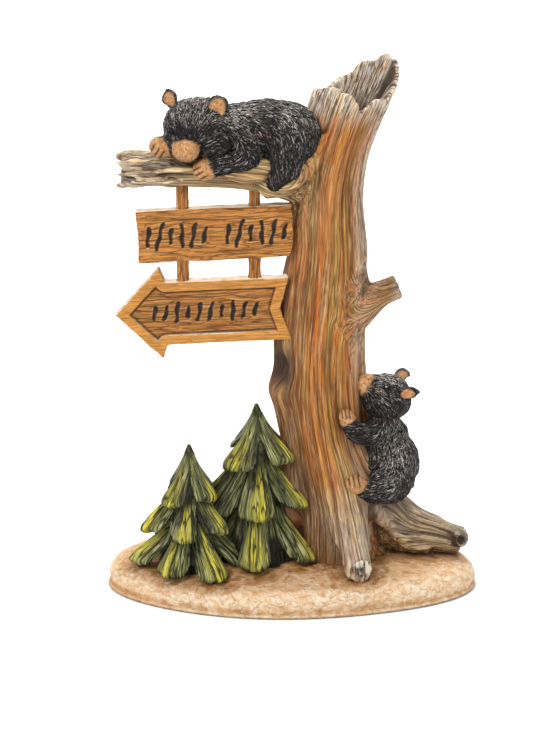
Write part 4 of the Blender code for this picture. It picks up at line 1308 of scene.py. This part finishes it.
def lay_sleeping_cub(size, paint):
    """Lies along the limb with its chin and forepaws on it and its head to the left."""
    unit = size.sleeping_cub / 80
    x = limb_rows(size)[0][0] - SLEEPER_SHARE * size.limb_reach
    y, z, _ = limb_at(size, x)
    muzzle = (-25.3, -17.4, 14.6, 6.6, 7.0, 5.9, 0)
    ears = ((-33.0, -4.0, 36.0, 3.6, 3.0, 4.4, -14), (-10.8, -7.4, 32.8, 5.1, 3.2, 5.6, 16))
    balls = (
        (-19.5, -4.5, 23.0, 16.8, 14.0, 13.8, 0), (-27.5, -9.5, 17.5, 8.4, 8.5, 8.8, 0),
        (-12.5, -10.0, 17.0, 8.8, 8.5, 8.8, 0), muzzle, *ears, (-5.0, -1.0, 20.5, 13.0, 12.0, 12.5, 0),
        (11.0, 0.5, 19.0, 27.0, 14.0, 16.0, -3), (1.0, -6.0, 17.5, 10.0, 7.5, 10.0, 0),
        (24.0, -7.0, 18.0, 13.5, 10.0, 15.0, 12), (24.0, 8.0, 17.0, 13.5, 9.0, 14.0, 12),
    )
    right_paw, left_paw = (-17.4, -15.2, 4.8, 5.3), (-37.6, -9.0, 14.2, 5.3)
    limbs = (
        ((3, -10, 14, 6.8), (3.2, -13.2, 9.6, 5.6), (-5.5, -14.2, 7.4, 4.6), right_paw),
        ((-24, -2, 17.5, 6.5), (-31.5, -6, 15, 5.4), left_paw),
        ((22, -9, 14, 10), (20.5, -12.5, 6, 8), (18, -12, 1.5, 6), (16, -11.4, -2, 4.4)),
        ((0, 8, 13, 7), (-2, 11, 5, 6), (-8, 10.5, 2, 5.2), (-14, 9, 3, 4.8)),
        ((22, 9, 14, 8.5), (20, 12, 4, 6.8), (21, 10.5, -4, 5), (23, 9.5, -8, 3.8)),
    )
    clay = model_cub("sleeping_cub", (x, y, z), unit, balls, limbs, 0.42)
    local = (clay.points - (x, y, z)) / unit
    guides = (
        ((-20, -14, 22), 9, (-27, -26, 12)), ((-20, -4, 34), 9, (-27, -30, 12)),
        ((-19, 8, 24), 12, (-24, -30, 30)), ((-4, -8, 26), 8, (-40, -10, 40)),
        ((-4, 8, 24), 9, (-50, 8, 40)), ((8, -6, 33), 10, (-90, -6, 30)),
        ((8, -12, 20), 9, (-30, -8, 62)), ((24, -10, 32), 9, (-20, 0, 60)),
        ((30, -12, 18), 10, (18, -4, 90)), ((22, -14, 2), 9, (20, -6, 60)),
        ((24, 12, 22), 13, (0, 0, 90)), ((8, 12, 22), 12, (-50, 6, 60)), ((-6, -14, 6), 7, (20, -12, 14)),
        ((-10, 11, 4), 7, (20, 10, 14)),
    )
    a, b, c = in_ball(local, muzzle)
    soft = 0.12 * cell_noise(clay.points / 1.4, 83)
    out = np.hypot(a * 0.86, c + 0.05)
    snout = ramp(out + soft, 1.02, 0.84) * (b < 0.1)
    # Painted shade in a ring round the muzzle and on its underside
    shade = 0.7 * bell(out, 1.06, 0.12) * (b < 0.3) + 0.45 * snout * ramp(c + 0.4 * a + soft, -0.3, -0.9)
    cups, dish, line = mark_ears(local, ears, 0.70, 0.86)
    left_toes, right_toes = (-0.53, 0.0, -0.85), (-0.83, 0.0, -0.55)
    paws = (
        (right_paw, (-0.55, 0.0, 0.83), right_toes, right_toes),
        (left_paw, (0.85, 0.0, -0.53), left_toes, left_toes),
    )
    pads, toes = mark_paws(local, paws, soft, 1.38, (-1.0, -0.55))
    tan = np.maximum.reduce([snout, cups, pads])
    strands = carve_fur(clay, local, guides, size, np.clip(0.85 * tan, 0, 1), 81)
    clay.push(-0.9 * dish - 0.7 * toes)
    lid = sum(
        bell(np.hypot(local[:, 0] - ex, (local[:, 2] - ez) * 2.2), 0, 2.6) * (local[:, 1] < -12)
        for ex, ez in ((-32.0, 22.5), (-20.5, 22.0))
    )
    # Painted shadow under the brow
    brow = bell(local[:, 2], 23.0, 2.6) * ramp(local[:, 1], -8, -13) * (local[:, 0] < -12)
    clay.push(-0.8 * lid)
    silver = glow(local, ((0.8, (-20, -8, 36), 130), (1.1, (0, -9, 31), 60), (0.55, (24, -10, 30), 90)))
    shade = np.maximum.reduce([shade + line, 0.9 * toes, 0.75 * lid, 0.6 * brow * (1 - tan)])
    return paint_fur(clay, strands, silver, tan, shade, 0 * tan, 0 * tan, paint)


def perch_climbing_cub(size, paint):
    """Clings to the right of the trunk above the right root, with its snout up."""
    unit = size.climbing_cub / 70
    x, y, wide, _ = trunk_line(size, CLIMBER_SHARE)
    height = size.base_height + CLIMBER_SHARE * size.trunk_height
    middle = (float(x + wide) + 9.5 * unit, float(y) - 4.5 * unit, height)
    snout = (-13.2, -1.6, 32.6, 5.4, 5.0, 5.2, -32)
    ears = ((4.6, 4.0, 35.8, 3.8, 2.8, 3.2, 20), (6.6, -8.8, 30.2, 4.6, 3.0, 3.3, 0))
    eye_at = (-3.4, -10.9, 33.4)
    balls = (
        (-0.6, 1.0, -9.2, 14.0, 12.6, 16.8, 8), (-3.8, 1.0, 5.0, 12.0, 10.6, 11.5, 0),
        (-3.0, -1.5, 25.4, 12.0, 11.8, 12.0, -20), (-9.6, -1.5, 30.2, 7.4, 6.9, 7.0, -32), snout, *ears,
        (-1.5, -7.5, -17.0, 11.5, 7.5, 9.5, -12), (-1.5, 9.5, -17.0, 11.5, 7.5, 9.5, -12),
        (9.0, 6.0, -21.4, 2.8, 2.6, 2.4, 0), (10.6, -8.4, 30.6, 1.9, 1.7, 1.5, 0),
        (*eye_at, 1.9, 1.9, 1.9, 0),
    )
    hands = (-22.8, -15.2, 20.4, 3.9), (-22, 15.6, 20.4, 3.9)
    feet = (-18.6, -17.2, -12.8, 4.8), (-17, 15.6, -13.4, 4.7)
    limbs = (
        ((-3, -7, 13, 6.4), (-12, -11, 10, 5.6), (-19.4, -14, 13.2, 4.7), hands[0]),
        ((-3, 9, 13, 6.4), (-12, 13, 9.5, 5.6), (-18.5, 15.4, 12.4, 4.9), hands[1]),
        ((-2, -8.5, -17, 8), (-8, -13, -18.6, 6.2), (-14, -15.6, -16.2, 5.0), feet[0]),
        ((-2, 10.5, -17, 8), (-8, 14, -20.5, 6.4), (-13.5, 15.4, -18, 5.2), feet[1]),
    )
    clay = model_cub("climbing_cub", middle, unit, balls, limbs, 0.44)
    local = (clay.points - middle) / unit
    guides = (
        ((-3, -9, 28), 8, (-14, -3, 32)), ((2, 0, 35), 8, (-16, 0, 34)), ((4, 6, 25), 10, (-14, 2, 32)),
        ((0, -9, 16), 8, (-6, -4, 60)), ((6, -8, 4), 10, (-10, 0, 60)), ((8, -8, -12), 9, (-6, -4, 40)),
        ((-2, -13, -16), 7, (30, -6, -12)), ((-12, -11, 15), 6, (10, -8, 12)),
        ((10, 6, 0), 14, (-4, 4, 60)), ((-2, 13, -16), 7, (30, 6, -12)), ((-12, 13, 15), 6, (10, 8, 12)),
    )
    out = np.linalg.norm(in_ball(local, snout), axis=0)
    soft = 0.14 * cell_noise(clay.points / 1.2, 93)
    tan = ramp(out + soft, 1.30, 1.08) * ramp(local[:, 0], -8.6, -10.4)
    cups, dish, line = mark_ears(local, ears, 0.66, 0.84)
    paws = [(paw, (1, 0, 0.2), (0, 0, 1), (-0.5, 0, 0.9)) for paw in (*hands, *feet)]
    pads, toes = mark_paws(local, paws, soft, 1.4, (-1.2, -0.7))
    tan = np.maximum.reduce([tan, cups, pads])
    gap = np.linalg.norm(local - eye_at, axis=1)
    eye = ramp(gap, 2.25, 1.9)
    socket = bell(gap, 2.7, 0.45)
    # A painted highlight in the eye
    glint = ramp(np.linalg.norm(local - eye_at - np.array((-0.7, -1.5, 1.1)), axis=1), 0.62, 0.4) * eye
    strands = carve_fur(clay, local, guides, size, np.clip(0.85 * tan + eye, 0, 1), 91)
    clay.push(-0.6 * dish - 0.7 * toes - 0.4 * socket)
    silver = glow(local, ((1.6, (-2, -4, 38), 50), (0.9, (2, -12, 2), 90), (0.35, (-2, -14, -14), 60)))
    shade = np.maximum.reduce([line, 0.9 * toes, 0.95 * eye, 0.8 * socket])
    return paint_fur(clay, strands, silver, tan, shade, eye, glint, paint)


# Stage


def set_stage(paint):
    """A plain pale floor, a pale surround, soft studio lights and the camera."""
    mesh = bpy.data.meshes.new("studio_floor")
    bm = bmesh.new()
    bmesh.ops.create_grid(bm, x_segments=8, y_segments=8, size=4.0)
    bm.to_mesh(mesh)
    bm.free()
    floor = bpy.data.objects.new("studio_floor", mesh)
    bpy.context.scene.collection.objects.link(floor)
    # A matt paper sweep: even, without gloss
    material, shader = new_material("matt_paper_sweep", 0.9, 0.1)
    shader.inputs["Base Color"].default_value = paint["floor"]
    mesh.materials.append(material)
    world = bpy.data.worlds.new("studio_surround")
    world.use_nodes = True
    sky = world.node_tree.nodes["Background"]
    sky.inputs["Color"].default_value = (1.0, 1.0, 1.0, 1.0)
    sky.inputs["Strength"].default_value = 0.6
    bpy.context.scene.world = world
    for name, spot, side, power, goal in LIGHTS:
        data = bpy.data.lights.new(name, "AREA")
        data.shape = "SQUARE"
        data.size = side
        data.energy = power
        lamp = bpy.data.objects.new(name, data)
        lamp.location = spot
        aim = Vector(goal) - Vector(spot)
        lamp.rotation_euler = aim.to_track_quat("-Z", "Y").to_euler()
        bpy.context.scene.collection.objects.link(lamp)
    data = bpy.data.cameras.new("camera")
    data.lens = CAMERA_LENS
    data.sensor_width = 36.0
    camera = bpy.data.objects.new("camera", data)
    camera.location = CAMERA_SPOT
    aim = Vector(CAMERA_GOAL) - Vector(CAMERA_SPOT)
    camera.rotation_euler = aim.to_track_quat("-Z", "Y").to_euler()
    bpy.context.scene.collection.objects.link(camera)
    bpy.context.scene.camera = camera
    bpy.context.scene.view_settings.view_transform = "Standard"


# Add-on


class FIGURINE_OT_tree(Operator):
    """Models and paints the hollow trunk with its limb, stub and roots"""

    bl_idname = "figurine.tree"
    bl_label = "Tree"

    def execute(self, context):
        carve_tree(sizes(), paints())
        return {"FINISHED"}


class FIGURINE_OT_sleeping_cub(Operator):
    """Models and paints the cub that sleeps on the limb"""

    bl_idname = "figurine.sleeping_cub"
    bl_label = "Sleeping cub"

    def execute(self, context):
        lay_sleeping_cub(sizes(), paints())
        return {"FINISHED"}


class FIGURINE_OT_climbing_cub(Operator):
    """Models and paints the cub that climbs the trunk"""

    bl_idname = "figurine.climbing_cub"
    bl_label = "Climbing cub"

    def execute(self, context):
        perch_climbing_cub(sizes(), paints())
        return {"FINISHED"}


class FIGURINE_OT_signs(Operator):
    """Models and paints the plank, the arrow and their posts"""

    bl_idname = "figurine.signs"
    bl_label = "Signs"

    def execute(self, context):
        hang_signs(sizes(), paints())
        return {"FINISHED"}


class FIGURINE_OT_spruces(Operator):
    """Models and paints both spruces"""

    bl_idname = "figurine.spruces"
    bl_label = "Spruces"

    def execute(self, context):
        size, paint = sizes(), paints()
        tall, short = size.tall_spruce, size.short_spruce
        grow_spruce("tall_spruce", size, TALL_SPRUCE_SPOT, tall, TALL_TIERS, -1.0, paint)
        grow_spruce("short_spruce", size, SHORT_SPRUCE_SPOT, short, SHORT_TIERS, 0.42, paint)
        return {"FINISHED"}


class FIGURINE_OT_base(Operator):
    """Models and paints the sandy base, stained round the tree and the spruces"""

    bl_idname = "figurine.base"
    bl_label = "Base"

    def execute(self, context):
        cast_base(sizes(), paints())
        return {"FINISHED"}


class FIGURINE_OT_stage(Operator):
    """Sets up the floor, the lights and the camera"""

    bl_idname = "figurine.stage"
    bl_label = "Stage"

    def execute(self, context):
        set_stage(paints())
        return {"FINISHED"}


OPERATORS = (
    FIGURINE_OT_tree,
    FIGURINE_OT_sleeping_cub,
    FIGURINE_OT_climbing_cub,
    FIGURINE_OT_signs,
    FIGURINE_OT_spruces,
    FIGURINE_OT_base,
    FIGURINE_OT_stage,
)


class FIGURINE_PT_panel(Panel):
    """Lists the figurine's pieces"""

    bl_idname = "FIGURINE_PT_panel"
    bl_label = "Cub tree figurine"
    bl_space_type = "VIEW_3D"
    bl_region_type = "UI"
    bl_category = "Figurine"

    def draw(self, context):
        for operator in OPERATORS:
            self.layout.operator(operator.bl_idname)
        for group in (context.scene.figurine_sizes, context.scene.figurine_paints):
            box = self.layout.box()
            for name in group.__annotations__:
                box.prop(group, name)


CLASSES = (FigurineSizes, FigurinePaints, *OPERATORS, FIGURINE_PT_panel)


def register():
    for made in CLASSES:
        bpy.utils.register_class(made)
    bpy.types.Scene.figurine_sizes = PointerProperty(type=FigurineSizes)
    bpy.types.Scene.figurine_paints = PointerProperty(type=FigurinePaints)


def unregister():
    del bpy.types.Scene.figurine_paints
    del bpy.types.Scene.figurine_sizes
    for made in reversed(CLASSES):
        bpy.utils.unregister_class(made)


def main():
    register()
    bpy.ops.figurine.tree()
    bpy.ops.figurine.sleeping_cub()
    bpy.ops.figurine.climbing_cub()
    bpy.ops.figurine.signs()
    bpy.ops.figurine.spruces()
    bpy.ops.figurine.base()
    bpy.ops.figurine.stage()


if __name__ == "__main__":
    main()
